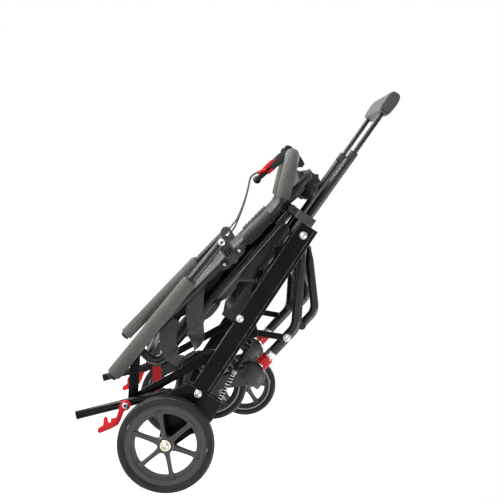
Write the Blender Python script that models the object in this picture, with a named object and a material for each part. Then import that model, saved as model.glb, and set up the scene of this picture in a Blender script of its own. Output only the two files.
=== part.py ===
"""A folding transport chair, folded as a trolley and standing on its rear wheels and tipper tubes.

Lengths are in millimetres until a mesh is made. A place is (u, y, v): u runs up along the side rails
from the rear axle, y runs across the chair to the sitter's left, and v runs square to the rails,
towards the armrests.
"""

import math

import bmesh
import bpy
from mathutils import Matrix, Vector

MM = 0.001
SIDES = {"right": -1, "left": 1}
GAP = 0.4  # between pieces that touch
RUN = 0.4  # round a pin in its bore
WHEEL_SIDES = 20
EYE_REACH = 8.0  # of a tube past the bolt through its end

# stance
RAIL_LEAN = 101.1  # degrees from the floor to the rails

# rear wheels and axle
REAR_R = 101.5
REAR_TYRE_HEIGHT = 15.0
REAR_TYRE_WIDTH = 32.0
WHEEL_ROOM = 9.6  # between a tyre and an axle bracket
HUB_R = 19.0
AXLE_R = 6.0
AXLE_TUBE_R = 12.5
SPOKES = 6
SPOKE_WIDTH = 11.0
SPOKE_PHASE = 43.5
REAR_OPENING_R = 64.0
NUT_R = 10.5
NUT_LENGTH = 7.0

# side rails
RAIL_BOTTOM = 104.0
RAIL_TOP = 540.0
RAIL_UPPER_EDGE = 20.0
RAIL_LOWER_EDGE = -21.0
RAIL_LANE = 240.0
RAIL_THICKNESS = 20.0
RAIL_WALL = 2.0
RAIL_STEP = 7.0
RAIL_STEP_DEPTH = 1.2

# axle brackets
BRACKET_PLATE = 4.0
BRACKET_EYE_R = 17.0
BRACKET_EDGE = [(107, 44), (84, 54), (91, -54), (132, -52), (128, 25)]
BRACKET_BOLT = (120.3, 0.7)

# tipper tubes and pedals
TIPPER_START = (88.0, 51.3)
TIPPER_ANGLE = 137.5
TIPPER_R = 9.3
PEDAL_EYE = (16.5, 114.0)
PEDAL_THICKNESS = 6.0
PEDAL_EDGE = [
    (10, -8), (-4, -7), (-14, -5), (-30, -9), (-42, -10), (-58, -2), (-78, 12), (-79, 18),
    (-72, 21), (-60, 16), (-48, 23), (-42, 22), (-43, 17), (-50, 10), (-47, 6), (-39, 10),
    (-36, 5), (-31, 2), (-18, 6), (-5, 10), (10, 6),
]

# crosshead, cross tube and trolley
CROSSHEAD_DEPTH = 18.0
CROSSHEAD_LOW = -5.0
CROSSHEAD_HIGH = 36.0
MID_BEAM = (293.0, 38.0)
MID_BEAM_WIDTH = 12.0
MID_BEAM_DEPTH = 21.0
MID_BOLT = (299.9, 14.5)
MID_BLOCK_WIDTH = 6.4
MID_BLOCK_LENGTH = 18.0
MID_PLATE_TOP = 360.0
MID_PLATE_EDGES = (4.0, 40.0)
TROLLEY_AT = (561.0, 6.4)
TROLLEY_TILT = 1.8
TROLLEY_LANE = 150.0
TROLLEY_TUBE_R = 9.0
TROLLEY_WALL = 2.6
TROLLEY_TUBE_TOP = 726.0
TROLLEY_TUBE_LENGTH = 350.0
ROD_R = 5.6
ROD_TOP = 842.0
ROD_LENGTH = 226.0
GRIP_LENGTH = 52.0
GRIP_WIDTH = 28.0
GRIP_OVERHANG = 22.0
CARRIAGE_LENGTH = 32.0

# front frame
LEG_PIVOT = (517.7, 0.0)
LEG_ROOM = 2.5  # between a leg and its link
LEG_R = 11.0
LEG_KNEE = (345.6, -98.9)
LEG_END = (270.2, -86.2)
KNEE_R = 45.0
LEG_CROSS = (430.0, -50.5)
LEG_CROSS_R = 9.0
LEG_BOLT = (316.5, -94.2)
LINK_FOOT = (288.0, -29.0)
LINK_WIDTH = 13.6
LINK_THICKNESS = 4.0
LINK_ROOM = 6.5  # between a link and a strut

# casters
STEM_ANGLE = 170.5
COLLAR_R = 11.6
COLLAR_LENGTH = 14.0
CASTER_STEM_R = 5.0
CASTER_SPRING_R = 10.4
CASTER_SPRING_WIRE = 1.2
CASTER_SPRING_LENGTH = 22.0
CASTER_SPRING_CURLS = 4
DOME_LENGTH = 64.0
DOME_HEIGHT = 42.0
DOME_WIDTH = 46.0
CASTER_DROP = 136.7
CASTER_TRAIL = 48.0
CASTER_R = 75.0
CASTER_TYRE_WIDTH = 26.0
CASTER_TYRE_HEIGHT = 12.0
CASTER_OPENING_R = 48.0
CASTER_PHASE = 6.5
FORK_ARM = 4.5
FORK_ROOM = 30.0
CASTER_AXLE_R = 4.6
FORK_WIDTH = 22.0

# footrest
FOOT_HINGE = (353.7, -108.5)
FOOT_KNEE = (395.7, -115.6)
FOOT_TIP = (497.0, -31.0)
FOOT_ROOM = 5.0  # between the footrest and a leg
FOOT_R = 9.0
FOOT_BEND_R = 32.0

# seat
SEAT_PIVOT = (551.0, 48.0)
BACK_HINGE = (122.0, 160.0)
SEAT_CORNER = (112.0, 105.3)
SEAT_ROOM = 5.4  # between a seat tube and a post
SEAT_R = 9.3
SEAT_BEND_R = 24.0
SEAT_CROSS_R = 8.0
SEAT_CROSS_BACK = 23.0
SEAT_PAD_THICKNESS = 17.0
PAD_LIFT = 4.0
FLAP_LOW = (574.0, 38.0)
FLAP_HIGH = (646.0, 47.0)
FLAP_THICKNESS = 36.0
STRUT_FOOT = (30.0, 107.0)
STRUT_WIDTH = 17.6
STRUT_ROOM = 7.6  # between a strut and an axle bracket
PLATE_ROOM = 1.4  # between a hinge plate and a rail
PLATE_WIDTH = 21.0
FLAT_BAR = 4.0

# back, push bar and armrests
POST_ROOM = 3.3  # between a post and a hinge plate
POST_R = 9.3
POST_TOP = (532.0, 74.8)
PUSH_BEND = (549.0, 74.0)
PUSH_TOP = (646.0, 109.5)
PUSH_CORNER_R = 46.0
FOAM_R = 15.2
BACK_PAD_TOP = 636.0
BACK_PAD_THICKNESS = 16.0
ARM_PIVOT = (412.5, 133.9)
ARM_FOOT = (396.0, 95.0)
ARM_CLAMP_LOW = (374.5, 103.9)
ARM_CLAMP_HIGH = (418.0, 93.5)
ARM_BRACKET_THICKNESS = 14.8
ARM_ROOM = 3.0  # between an armrest's tube and its bracket
ARM_TUBE_R = 9.0
ARM_FOAM_R = 15.6
ARM_FOAM_START = 104.0
ARM_FOAM_LENGTH = 256.0
ARM_ANGLES = {"right": 174.2, "left": 169.4}

# brake levers and cables
LEVER_LANE = 120.0
LEVER_PIVOT = (634.5, 125.8)
LEVER_TIP = (561.0, 143.0)
LEVER_BALL_R = 8.5
LEVER_CLAMP_R = 15.0
LEVER_CLAMP_TOP = (653.0, 124.5)
LEVER_CLAMP_FOOT = (642.0, 84.0)
LEVER_ARM_START = (640.0, 119.0)
LEVER_ARM_END = (606.0, 131.0)
CABLE_R = 1.8
CABLE_ROUTE = [
    (581, 126, 146), (573, 126, 152), (563, 130, 157), (552, 138, 156), (537, 150, 150),
    (514, 168, 142), (490, 186, 135.5), (468, 200, 131), (449, 212, 128.5), (427.5, 228, 131.5),
]

# lock rod and spring on each rail
LOCK_TOP = (274.0, -32.0)
LOCK_FOOT = (112.0, -46.0)
LOCK_SHIFT = 2.0  # of the lock rod from the rail's middle
LOCK_ROD_R = 5.0
LOCK_CORE_R = 2.6
LOCK_KNOB_U = 198.0
LOCK_EAR_U = 124.0
LOCK_CLIP = 14.0
SPRING_R = 5.6
SPRING_WIRE = 0.9
SPRING_CURLS = 9

# straps
STRAP_THICKNESS = 2.4
LAP_STRAP_WIDTH = 30.0
LAP_STRAP_ROOM = 2.8  # between the strap's middle and a post
LAP_STRAP_ROUTE = [  # u, y, v and the turn in degrees
    (214, 0, 134, 0), (180, 0, 119, 0), (158, 0, 100, 0), (152, 0, 84, 0), (157, -11, 70, 50),
    (170, -14.5, 60, 90), (186, -14.5, 55, 90), (204, -11, 62, 50), (224, 0, 78, 0), (250, 0, 97, 0),
    (278, 0, 114, 0), (302, 0, 128, 0),
]
PULL_STRAP_LENGTH = 118.0
PULL_STRAP_WIDTH = 20.0
PULL_STRAP_LANE = 100.0
HANG_ANGLE = -146.5

# bolts
BOLT_R = 4.0
HEAD_R = 6.6
HEAD_HEIGHT = 3.6

BLACK = (0.012, 0.012, 0.013)
FOAM = (0.085, 0.087, 0.081)
PLASTIC = (0.028, 0.028, 0.029)
FABRIC = (0.022, 0.023, 0.024)
GREY = (0.085, 0.085, 0.088)
SILVER = (0.62, 0.63, 0.65)
ZINC = (0.62, 0.55, 0.36)
RED = (0.62, 0.012, 0.02)

bodies = {}


def clear_scene():
    for old in list(bpy.data.objects):
        bpy.data.objects.remove(old, do_unlink=True)


def material(name, colour, roughness, metallic=0.0):
    """One Principled finish for a node."""
    made = bpy.data.materials.new(name)
    made.use_nodes = True
    shader = made.node_tree.nodes["Principled BSDF"]
    shader.inputs["Base Color"].default_value = (*colour, 1.0)
    shader.inputs["Roughness"].default_value = roughness
    shader.inputs["Metallic"].default_value = metallic
    return made


FINISHES = {
    "black_metal": (BLACK, 0.22, 0.3),
    "plastic": (PLASTIC, 0.5, 0.0),
    "tyre": (PLASTIC, 0.62, 0.0),
    "foam": (FOAM, 0.85, 0.0),
    "fabric": (FABRIC, 0.9, 0.0),
    "grey_plastic": (GREY, 0.5, 0.0),
    "steel": (SILVER, 0.25, 1.0),
    "zinc": (ZINC, 0.3, 1.0),
    "red": (RED, 0.35, 0.0),
}


def body(name, place=(0, 0, 0), parent="root"):
    """An empty on a joint's axis, which carries the pieces that move with it."""
    empty = bpy.data.objects.new("at_" + name, None)
    bpy.context.scene.collection.objects.link(empty)
    origin = Vector(place)
    if bodies:
        carrier, start = bodies[parent]
        empty.parent = carrier
        empty.location = (origin - start) * MM
    bodies[name] = (empty, origin)
    return empty


def place_mesh(name, shape, on):
    """Turns a shape in millimetres into a mesh object on its body."""
    carrier, origin = bodies[on]
    bmesh.ops.remove_doubles(shape, verts=shape.verts, dist=0.002)
    bmesh.ops.translate(shape, verts=shape.verts, vec=-origin)
    bmesh.ops.scale(shape, verts=shape.verts, vec=(MM, MM, MM))
    bmesh.ops.recalc_face_normals(shape, faces=shape.faces)
    mesh = bpy.data.meshes.new(name)
    shape.to_mesh(mesh)
    shape.free()
    made = bpy.data.objects.new(name, mesh)
    bpy.context.scene.collection.objects.link(made)
    made.parent = carrier
    return made


def piece(name, shape, on, finish):
    """A node of the chair."""
    made = place_mesh(name, shape, on)
    made.data.materials.append(material(name, *FINISHES[finish]))
    made.data.shade_smooth()
    made.data.set_sharp_from_angle(angle=math.radians(35))
    made["body"] = on
    return made


def tool(target, shape, on, operation):
    """Cuts a shape from a node, or joins one to it, through a hidden helper."""
    helper = place_mesh(target.name + "_" + operation.lower(), shape, on)
    helper.hide_render = True
    helper.display_type = "WIRE"
    modifier = target.modifiers.new(operation.title(), "BOOLEAN")
    modifier.operation = operation
    modifier.object = helper
    modifier.solver = "EXACT"


def cut(target, shape, on):
    tool(target, shape, on, "DIFFERENCE")


def join(target, shape, on):
    tool(target, shape, on, "UNION")


def merged(*shapes):
    """Several shapes as one set of separate solids."""
    whole = shapes[0]
    for shape in shapes[1:]:
        mesh = bpy.data.meshes.new("part_of_group")
        shape.to_mesh(mesh)
        shape.free()
        whole.from_mesh(mesh)
        bpy.data.meshes.remove(mesh)
    return whole


def both(make):
    """A shape made for each side, as one set of solids."""
    return merged(*(make(side) for side in SIDES.values()))


def along(start, angle, distance):
    """The (u, v) point at a distance from start, in a direction in degrees from the rail."""
    turn = math.radians(angle)
    return (start[0] + distance * math.cos(turn), start[1] + distance * math.sin(turn))


def direction(angle):
    turn = math.radians(angle)
    return Vector((math.cos(turn), 0, math.sin(turn)))


def span(start, end):
    """The length and the angle in degrees of a line between two (u, v) points."""
    du, dv = end[0] - start[0], end[1] - start[1]
    return math.hypot(du, dv), math.degrees(math.atan2(dv, du))


def at(uv, y):
    return Vector((uv[0], y, uv[1]))


def prism(outline, low, high, edge=0.0):
    """An outline of (u, v) points, solid between two values of y, with its edges eased."""
    shape = bmesh.new()
    low, high = sorted((low, high))
    points = [shape.verts.new((u, low, v)) for u, v in outline]
    face = shape.faces.new(points)
    made = bmesh.ops.extrude_face_region(shape, geom=[face])["geom"]
    top = [v for v in made if isinstance(v, bmesh.types.BMVert)]
    bmesh.ops.translate(shape, verts=top, vec=(0, high - low, 0))
    if edge:
        ends = [f for f in shape.faces if min(abs(f.calc_center_median().y - y)
                                              for y in (low, high)) < 1e-3]
        rims = {e for f in ends for e in f.edges}
        bmesh.ops.bevel(shape, geom=list(rims), offset=edge, segments=1, affect="EDGES")
    bmesh.ops.recalc_face_normals(shape, faces=shape.faces)
    return shape


def block(low, high, edge=0.0):
    """A box between two (u, y, v) corners."""
    (u0, y0, v0), (u1, y1, v1) = low, high
    return prism([(u0, v0), (u1, v0), (u1, v1), (u0, v1)], y0, y1, edge)


def turned(profile, centre, axis, steps=20):
    """A closed profile of (radius, height) points turned round an axis."""
    shape = bmesh.new()
    axis = Vector(axis).normalized()
    side = axis.orthogonal().normalized()
    centre = Vector(centre)
    verts = [shape.verts.new(centre + side * r + axis * h) for r, h in profile]
    pairs = list(zip(verts, verts[1:]))
    if all(r > 1e-6 for r, _ in profile):
        pairs.append((verts[-1], verts[0]))
    edges = [shape.edges.new(pair) for pair in pairs]
    bmesh.ops.spin(
        shape, geom=verts + edges, cent=centre, axis=axis, dvec=(0, 0, 0),
        angle=math.tau, steps=steps, use_merge=True, use_duplicate=False,
    )
    bmesh.ops.remove_doubles(shape, verts=shape.verts, dist=0.002)
    bmesh.ops.dissolve_degenerate(shape, edges=shape.edges, dist=1e-5)
    bmesh.ops.recalc_face_normals(shape, faces=shape.faces)
    return shape


def pin(uv, low, high, radius, steps=10):
    """A round bar across the chair, between two values of y."""
    low, high = sorted((low, high))
    length = high - low
    profile = [(0, 0), (radius, 0), (radius, length), (0, length)]
    return turned(profile, at(uv, low), (0, 1, 0), steps)


def bolt(uv, head_y, tip_y, head=HEAD_R, shank=BOLT_R):
    """A domed bolt head at head_y, with its shank reaching to tip_y."""
    out = 1 if head_y > tip_y else -1
    length = abs(head_y - tip_y)
    profile = [
        (0, HEAD_HEIGHT), (head, 0), (shank, 0), (shank, -length), (0, -length),
    ]
    return turned(profile, at(uv, head_y), (0, out, 0), 8)


def rounded(points, radius, steps=6):
    """A path of (u, y, v) points with its corners rounded, in steps for each right angle."""
    path = [Vector(points[0])]
    for before, corner, after in zip(points, points[1:], points[2:]):
        before, corner, after = Vector(before), Vector(corner), Vector(after)
        back, on = (before - corner).normalized(), (after - corner).normalized()
        half = back.angle(on) / 2
        reach = radius / math.tan(half)
        room = 0.98 * min((before - corner).length, (after - corner).length)
        reach = min(reach, room)
        bend = reach * math.tan(half)
        centre = corner + (back + on).normalized() * (bend / math.sin(half))
        start, end = corner + back * reach - centre, corner + on * reach - centre
        sweep = start.angle(end)
        count = max(1, round(steps * sweep / (math.pi / 2)))
        for i in range(count + 1):
            share = i / count
            turn = start * math.sin(sweep * (1 - share)) + end * math.sin(sweep * share)
            path.append(centre + turn / math.sin(sweep))
    path.append(Vector(points[-1]))
    return path


def tube(path, radius, resolution=2):
    """A solid round bar swept along a path, from a bevelled curve with filled caps."""
    curve = bpy.data.curves.new("path", "CURVE")
    curve.dimensions = "3D"
    curve.bevel_depth = radius
    curve.bevel_resolution = resolution
    curve.use_fill_caps = True
    line = curve.splines.new("POLY")
    line.points.add(len(path) - 1)
    for point, place in zip(line.points, path):
        point.co = (*place, 1.0)
    holder = bpy.data.objects.new("path", curve)
    bpy.context.scene.collection.objects.link(holder)
    graph = bpy.context.evaluated_depsgraph_get()
    mesh = bpy.data.meshes.new_from_object(holder.evaluated_get(graph))
    shape = bmesh.new()
    shape.from_mesh(mesh)
    bpy.data.objects.remove(holder)
    bpy.data.curves.remove(curve)
    bpy.data.meshes.remove(mesh)
    bmesh.ops.remove_doubles(shape, verts=shape.verts, dist=0.002)
    bmesh.ops.recalc_face_normals(shape, faces=shape.faces)
    return shape


def arc(centre, radius, start, end, steps):
    """(u, v) points on an arc, in degrees."""
    return [along(centre, start + (end - start) * i / steps, radius) for i in range(steps + 1)]


def slot_outline(start, end, radius, end_radius=None, steps=4):
    """A bar with round ends, seen from the side."""
    end_radius = end_radius or radius
    length, angle = span(start, end)
    lean = math.degrees(math.asin((radius - end_radius) / length))
    return (arc(start, radius, angle + 90 - lean, angle + 270 + lean, steps)
            + arc(end, end_radius, angle - 90 + lean, angle + 90 - lean, steps))


def hull(points):
    """The outline round a set of (u, v) points."""
    points = sorted(set((round(u, 4), round(v, 4)) for u, v in points))

    def chain(some):
        kept = []
        for p in some:
            while len(kept) > 1:
                (au, av), (bu, bv) = kept[-2], kept[-1]
                if (bu - au) * (p[1] - av) - (bv - av) * (p[0] - au) > 1e-6:
                    break
                kept.pop()
            kept.append(p)
        return kept[:-1]

    return chain(points) + chain(points[::-1])


def helix(start, end, radius, wire, curls, steps=8):
    """An open coil between two points, as one unbroken tube, and its least gap between curls."""
    start, end = Vector(start), Vector(end)
    axis = (end - start).normalized()
    side = axis.orthogonal().normalized()
    other = axis.cross(side)
    length = (end - start).length
    count = curls * steps
    path = []
    for i in range(count + 1):
        turn = math.tau * i / steps
        path.append(start + axis * (length * i / count)
                    + (side * math.cos(turn) + other * math.sin(turn)) * radius)
    gaps = [(path[i + steps] - path[i]).length - 2 * wire for i in range(count - steps + 1)]
    return path, min(gaps)


def ribbon(path, across, width, thickness):
    """A strap along a path, with the direction of its width at each point."""
    shape = bmesh.new()
    rings = []
    for i, (place, way) in enumerate(zip(path, across)):
        before, after = path[max(i - 1, 0)], path[min(i + 1, len(path) - 1)]
        run = (after - before).normalized()
        way = (way - run * way.dot(run)).normalized()
        face = run.cross(way).normalized()
        corners = [(-0.5, -0.5), (0.5, -0.5), (0.5, 0.5), (-0.5, 0.5)]
        rings.append([shape.verts.new(place + way * (width * a) + face * (thickness * b))
                      for a, b in corners])
    for one, two in zip(rings, rings[1:]):
        for k in range(4):
            shape.faces.new((one[k], one[(k + 1) % 4], two[(k + 1) % 4], two[k]))
    shape.faces.new(rings[0][::-1])
    shape.faces.new(rings[-1])
    bmesh.ops.recalc_face_normals(shape, faces=shape.faces)
    return shape


def smooth_path(points, steps=2):
    """A smooth curve through hand-placed (u, y, v) points."""
    places = [Vector(p) for p in points]
    ends = [2 * places[0] - places[1]] + places + [2 * places[-1] - places[-2]]
    path = []
    for a, b, c, d in zip(ends, ends[1:], ends[2:], ends[3:]):
        for i in range(steps):
            t = i / steps
            path.append(0.5 * (2 * b + (c - a) * t + (2 * a - 5 * b + 4 * c - d) * t * t
                               + (3 * b - a - 3 * c + d) * t ** 3))
    return path + [places[-1]]


def pad(low_end, high_end, half_width, thickness, channels, crown, tuck, steps=(21, 5)):
    """A padded panel between two (u, v) ends, with cross channels, a crown and drawn-in sides."""
    length, angle = span(low_end, high_end)
    run, rise = direction(angle), direction(angle + 90)
    shape = bmesh.new()
    nu, ny = steps
    sheets = []
    for face in (1, -1):
        rows = []
        for i in range(nu + 1):
            s = i / nu
            row = []
            for j in range(ny + 1):
                t = 2 * j / ny - 1
                rim = min(1.0, 6 * s, 6 * (1 - s)) * min(1.0, 4 * (1 - abs(t)))
                groove = abs(math.sin(math.pi * channels * s)) ** 0.5
                swell = (0.16 + 0.84 * math.sqrt(max(rim, 0))) * (0.72 + 0.28 * groove)
                swell *= 1 + crown * (1 - t * t)
                half = half_width * (1 - tuck * math.sin(math.pi * s))
                place = (at(low_end, half * t) + run * (length * s)
                         + rise * (face * thickness / 2 * swell / (1 + crown)))
                row.append(shape.verts.new(place))
            rows.append(row)
        sheets.append(rows)
    for rows in sheets:
        for a, b in zip(rows, rows[1:]):
            for j in range(ny):
                shape.faces.new((a[j], a[j + 1], b[j + 1], b[j]))
    over, under = sheets
    border = ([(0, j) for j in range(ny + 1)] + [(i, ny) for i in range(1, nu + 1)]
              + [(nu, j) for j in range(ny - 1, -1, -1)] + [(i, 0) for i in range(nu - 1, 0, -1)])
    for (i, j), (k, m) in zip(border, border[1:] + border[:1]):
        shape.faces.new((over[i][j], over[k][m], under[k][m], under[i][j]))
    bmesh.ops.recalc_face_normals(shape, faces=shape.faces)
    return shape


def height(uv):
    """How far a (u, v) place is above the rear axle when the chair stands."""
    lean = math.radians(RAIL_LEAN)
    return uv[0] * math.sin(lean) + uv[1] * math.cos(lean)


STEM = direction(STEM_ANGLE)
STEM_SIDE = direction(STEM_ANGLE - 90)
SEAT_ANGLE = span(SEAT_CORNER, SEAT_PIVOT)[1]
POST_ANGLE = span(BACK_HINGE, POST_TOP)[1]
RAIL_OUTER = RAIL_LANE + RAIL_THICKNESS / 2
RAIL_INNER = RAIL_LANE - RAIL_THICKNESS / 2
BRACKET_OUTER = RAIL_OUTER + GAP + BRACKET_PLATE
BRACKET_INNER = RAIL_INNER - GAP - BRACKET_PLATE
REAR_LANE = BRACKET_OUTER + WHEEL_ROOM + REAR_TYRE_WIDTH / 2
STRUT_LANE = BRACKET_INNER - STRUT_ROOM - FLAT_BAR / 2
LINK_LANE = STRUT_LANE - FLAT_BAR / 2 - LINK_ROOM - LINK_THICKNESS / 2
LEG_LANE = LINK_LANE - LINK_THICKNESS / 2 - LEG_ROOM - LEG_R
FOOT_LANE = LEG_LANE - LEG_R - FOOT_ROOM - FOOT_R
PLATE_LANE = RAIL_INNER - PLATE_ROOM - FLAT_BAR / 2
POST_LANE = PLATE_LANE - FLAT_BAR / 2 - POST_ROOM - POST_R
SEAT_LANE = POST_LANE - POST_R - SEAT_ROOM - SEAT_R
ARM_BRACKET_NEAR = POST_LANE + POST_R + GAP
ARM_BRACKET_FAR = ARM_BRACKET_NEAR + ARM_BRACKET_THICKNESS
ARM_LANE = ARM_BRACKET_FAR + ARM_ROOM + ARM_TUBE_R
LOCK_LANE = RAIL_LANE - LOCK_SHIFT
LAP_STRAP_LANE = POST_LANE - POST_R - LAP_STRAP_ROOM
PEDAL_NEAR = RAIL_OUTER + 1.4
HUB_HALF = REAR_TYRE_WIDTH / 2 - 0.4
LOCK_LENGTH, LOCK_ANGLE = span(LOCK_TOP, LOCK_FOOT)
LEVER_FAR = LEVER_LANE + 14


def caster_axle(side):
    """The place of a caster's axle: the sitter's right wheel trails to the rails, the left away."""
    trail = CASTER_TRAIL if side < 0 else -CASTER_TRAIL
    place = at(LEG_END, side * LEG_LANE) + STEM * CASTER_DROP + STEM_SIDE * trail
    return (place.x, place.y, place.z)


def make_bodies():
    """The moving bodies, each hung at its joint's axis."""
    body("root")
    for name, side in SIDES.items():
        body("rear_wheel_" + name, (0, side * REAR_LANE, 0))
        body("brake_pedal_" + name, (PEDAL_EYE[0], side * RAIL_LANE, PEDAL_EYE[1]))
    body("trolley_tubes", at(TROLLEY_AT, 0))
    body("trolley_rods", at(TROLLEY_AT, 0), "trolley_tubes")
    body("front_frame", at(LEG_PIVOT, 0))
    body("footrest", at(FOOT_HINGE, 0), "front_frame")
    body("leg_links", at(LEG_BOLT, 0), "front_frame")
    for name, side in SIDES.items():
        body("caster_fork_" + name, at(LEG_END, side * LEG_LANE), "front_frame")
        body("caster_wheel_" + name, caster_axle(side), "caster_fork_" + name)
    body("seat", at(SEAT_PIVOT, 0))
    body("hinge_plates", at(BACK_HINGE, 0), "seat")
    body("struts", at(LINK_FOOT, 0))
    body("back", at(BACK_HINGE, 0), "seat")
    for name, side in SIDES.items():
        body("armrest_" + name, at(ARM_PIVOT, side * ARM_LANE), "back")
        body("brake_lever_" + name, at(LEVER_PIVOT, side * LEVER_LANE), "back")


def bore(uv, low, high, radius=BOLT_R + RUN, steps=8):
    return pin(uv, low, high, radius, steps)


def pair(name, make, on, finish):
    """A node for each side of the chair, by side."""
    return {side: piece(f"{name}_{word}", make(side), on, finish) for word, side in SIDES.items()}


def join_each(pieces, make, on):
    for side, target in pieces.items():
        join(target, make(side), on)


def cut_each(pieces, make, on):
    for side, target in pieces.items():
        cut(target, make(side), on)


def make_rails():
    """Box rails with a stepped lower edge, open ends, and lugs with the strut pivots."""
    low, high = RAIL_LOWER_EDGE, RAIL_UPPER_EDGE
    inner, outer = RAIL_INNER, RAIL_OUTER
    lug_face = inner - BRACKET_PLATE
    lug = hull(arc(LINK_FOOT, 9, 0, 315, 7)
               + [(LINK_FOOT[0] - 26, low + 6), (LINK_FOOT[0] + 26, low + 6)])

    def beam(side):
        return block((RAIL_BOTTOM, side * inner, low), (RAIL_TOP, side * outer, high))

    def hollow(side):
        wall = RAIL_WALL
        return block((RAIL_BOTTOM - 5, side * (inner + wall), low + wall),
                     (RAIL_TOP + 5, side * (outer - wall - RAIL_STEP_DEPTH), high - wall))

    def holes(side):
        step = block((RAIL_BOTTOM - 5, side * (outer - RAIL_STEP_DEPTH), low - 5),
                     (RAIL_TOP + 5, side * (outer + 5), low + RAIL_STEP))
        through = [bore(uv, side * (inner - 9), side * (outer + 9))
                   for uv in (LEG_PIVOT, MID_BOLT, BRACKET_BOLT)]
        return merged(step, *through)

    rails = pair("side_rail", beam, "root", "black_metal")
    join_each(rails, lambda side: prism(lug, side * lug_face, side * (inner + 1.5)), "root")
    cut_each(rails, hollow, "root")
    cut_each(rails, holes, "root")
    head = STRUT_LANE - FLAT_BAR / 2 - GAP
    join_each(rails, lambda side: bolt(LINK_FOOT, side * head, side * (lug_face + 2)), "root")
    right = rails[SIDES["right"]]
    clip_u = LOCK_TOP[0] - LOCK_CLIP
    join(right, block((clip_u - 5, -LOCK_LANE - 7, LOCK_TOP[1] - 7),
                      (clip_u + 5, -LOCK_LANE + 7, low + 1)), "root")
    cut(right, lock_bore(LOCK_CLIP - 9, LOCK_CLIP + 9, LOCK_ROD_R + GAP), "root")


def lock_bore(start, end, radius):
    """A round hole along the lock rod's line."""
    return turned([(0, start), (radius, start), (radius, end), (0, end)],
                  at(LOCK_TOP, -LOCK_LANE), direction(LOCK_ANGLE), 10)


def make_locks():
    """The sprung rod under the sitter's right rail that locks the fold, and its open coil spring."""
    knob = LOCK_TOP[0] - LOCK_KNOB_U
    profile = [
        (0, 0), (LOCK_ROD_R, 0), (LOCK_ROD_R, knob - 4), (6.4, knob - 3), (6.4, knob + 4),
        (4, knob + 6), (LOCK_CORE_R, knob + 6), (LOCK_CORE_R, LOCK_LENGTH), (0, LOCK_LENGTH),
    ]
    line, top = direction(LOCK_ANGLE), at(LOCK_TOP, -LOCK_LANE)
    piece("lock_rod", turned(profile, top, line, 12), "root", "black_metal")
    start, end = knob + 8, LOCK_TOP[0] - LOCK_EAR_U - 5
    path, gap = helix(top + line * start, top + line * end, SPRING_R, SPRING_WIRE, SPRING_CURLS)
    print(f"lock spring: least gap between curls {gap:.2f} mm")
    piece("lock_spring", tube(path, SPRING_WIRE, 1), "root", "steel")


def tipper_length():
    """The length at which a tipper tube's end just meets the floor."""
    fall = -height(along((0, 0), TIPPER_ANGLE, 1))
    across = abs(height(along((0, 0), TIPPER_ANGLE + 90, 1)))
    return (height(TIPPER_START) + REAR_R - TIPPER_R * across) / fall


def make_axle_brackets():
    """Two plates on a sleeve round the axle, holding a rail and welded to a tipper tube."""
    outline = hull(arc((0, 0), BRACKET_EYE_R, 0, 320, 8) + BRACKET_EDGE)
    outer, inner = RAIL_OUTER + GAP, RAIL_INNER - GAP
    tip = along(TIPPER_START, TIPPER_ANGLE, tipper_length())

    def plates(side):
        return merged(prism(outline, side * outer, side * BRACKET_OUTER),
                      prism(outline, side * inner, side * BRACKET_INNER))

    def sleeve(side):
        return pin((0, 0), side * (outer + 1), side * (inner - 1), BRACKET_EYE_R - 2)

    def tipper(side):
        y = side * RAIL_LANE
        return tube([at(TIPPER_START, y), at(tip, y)], TIPPER_R)

    def weld(side):
        return pin(TIPPER_START, side * (inner - 1), side * (outer + 1), 7.6, 8)

    def pedal_pin(side):
        return pin(PEDAL_EYE, side * (RAIL_LANE - 6), side * (PEDAL_NEAR - GAP), 8.6)

    def studs(side):
        return merged(
            bolt(PEDAL_EYE, side * (PEDAL_NEAR + PEDAL_THICKNESS + GAP), side * (RAIL_LANE + 4)),
            bolt(BRACKET_BOLT, side * (BRACKET_OUTER - 0.2), side * (BRACKET_INNER + 1)),
        )

    brackets = pair("axle_bracket", plates, "root", "black_metal")
    join_each(brackets, sleeve, "root")
    join_each(brackets, tipper, "root")
    join_each(brackets, weld, "root")
    join_each(brackets, pedal_pin, "root")
    join_each(brackets, studs, "root")
    right = brackets[SIDES["right"]]
    ear = block((LOCK_EAR_U - 2, -inner + 1, LOCK_FOOT[1] - 7),
                (LOCK_EAR_U + 2, -outer - 1, RAIL_LOWER_EDGE - 3))
    join(right, ear, "root")
    cut(right, lock_bore(LOCK_LENGTH - 24, LOCK_LENGTH + 1, LOCK_CORE_R + RUN), "root")
    cut_each(brackets, lambda side: bore((0, 0), side * (BRACKET_INNER - 5),
                                         side * (BRACKET_OUTER + 5), AXLE_R + RUN, 12), "root")


def make_rear_axle():
    """One axle right across: a wide tube between the brackets and stepped ends through the wheels."""
    tube_end = BRACKET_INNER - GAP
    bush = (BRACKET_OUTER + GAP, REAR_LANE - HUB_HALF - GAP)
    end = REAR_LANE + HUB_HALF + 0.8
    half = [(AXLE_TUBE_R, tube_end), (AXLE_R, tube_end), (AXLE_R, bush[0]), (9, bush[0]),
            (9, bush[1]), (AXLE_R, bush[1]), (AXLE_R, end)]
    profile = [(0, -end)] + [(r, -h) for r, h in half[::-1]] + half + [(0, end)]
    piece("rear_axle", turned(profile, (0, 0, 0), (0, 1, 0), 14), "root", "black_metal")

    def nut(side):
        seat = end + GAP
        profile = [(0, seat), (NUT_R, seat), (NUT_R, seat + 1.6), (6.2, seat + 1.8),
                   (5.2, seat + NUT_LENGTH), (0, seat + NUT_LENGTH)]
        return turned(profile, (0, 0, 0), (0, side, 0), 14)

    pair("axle_nut", nut, "root", "zinc")


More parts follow.
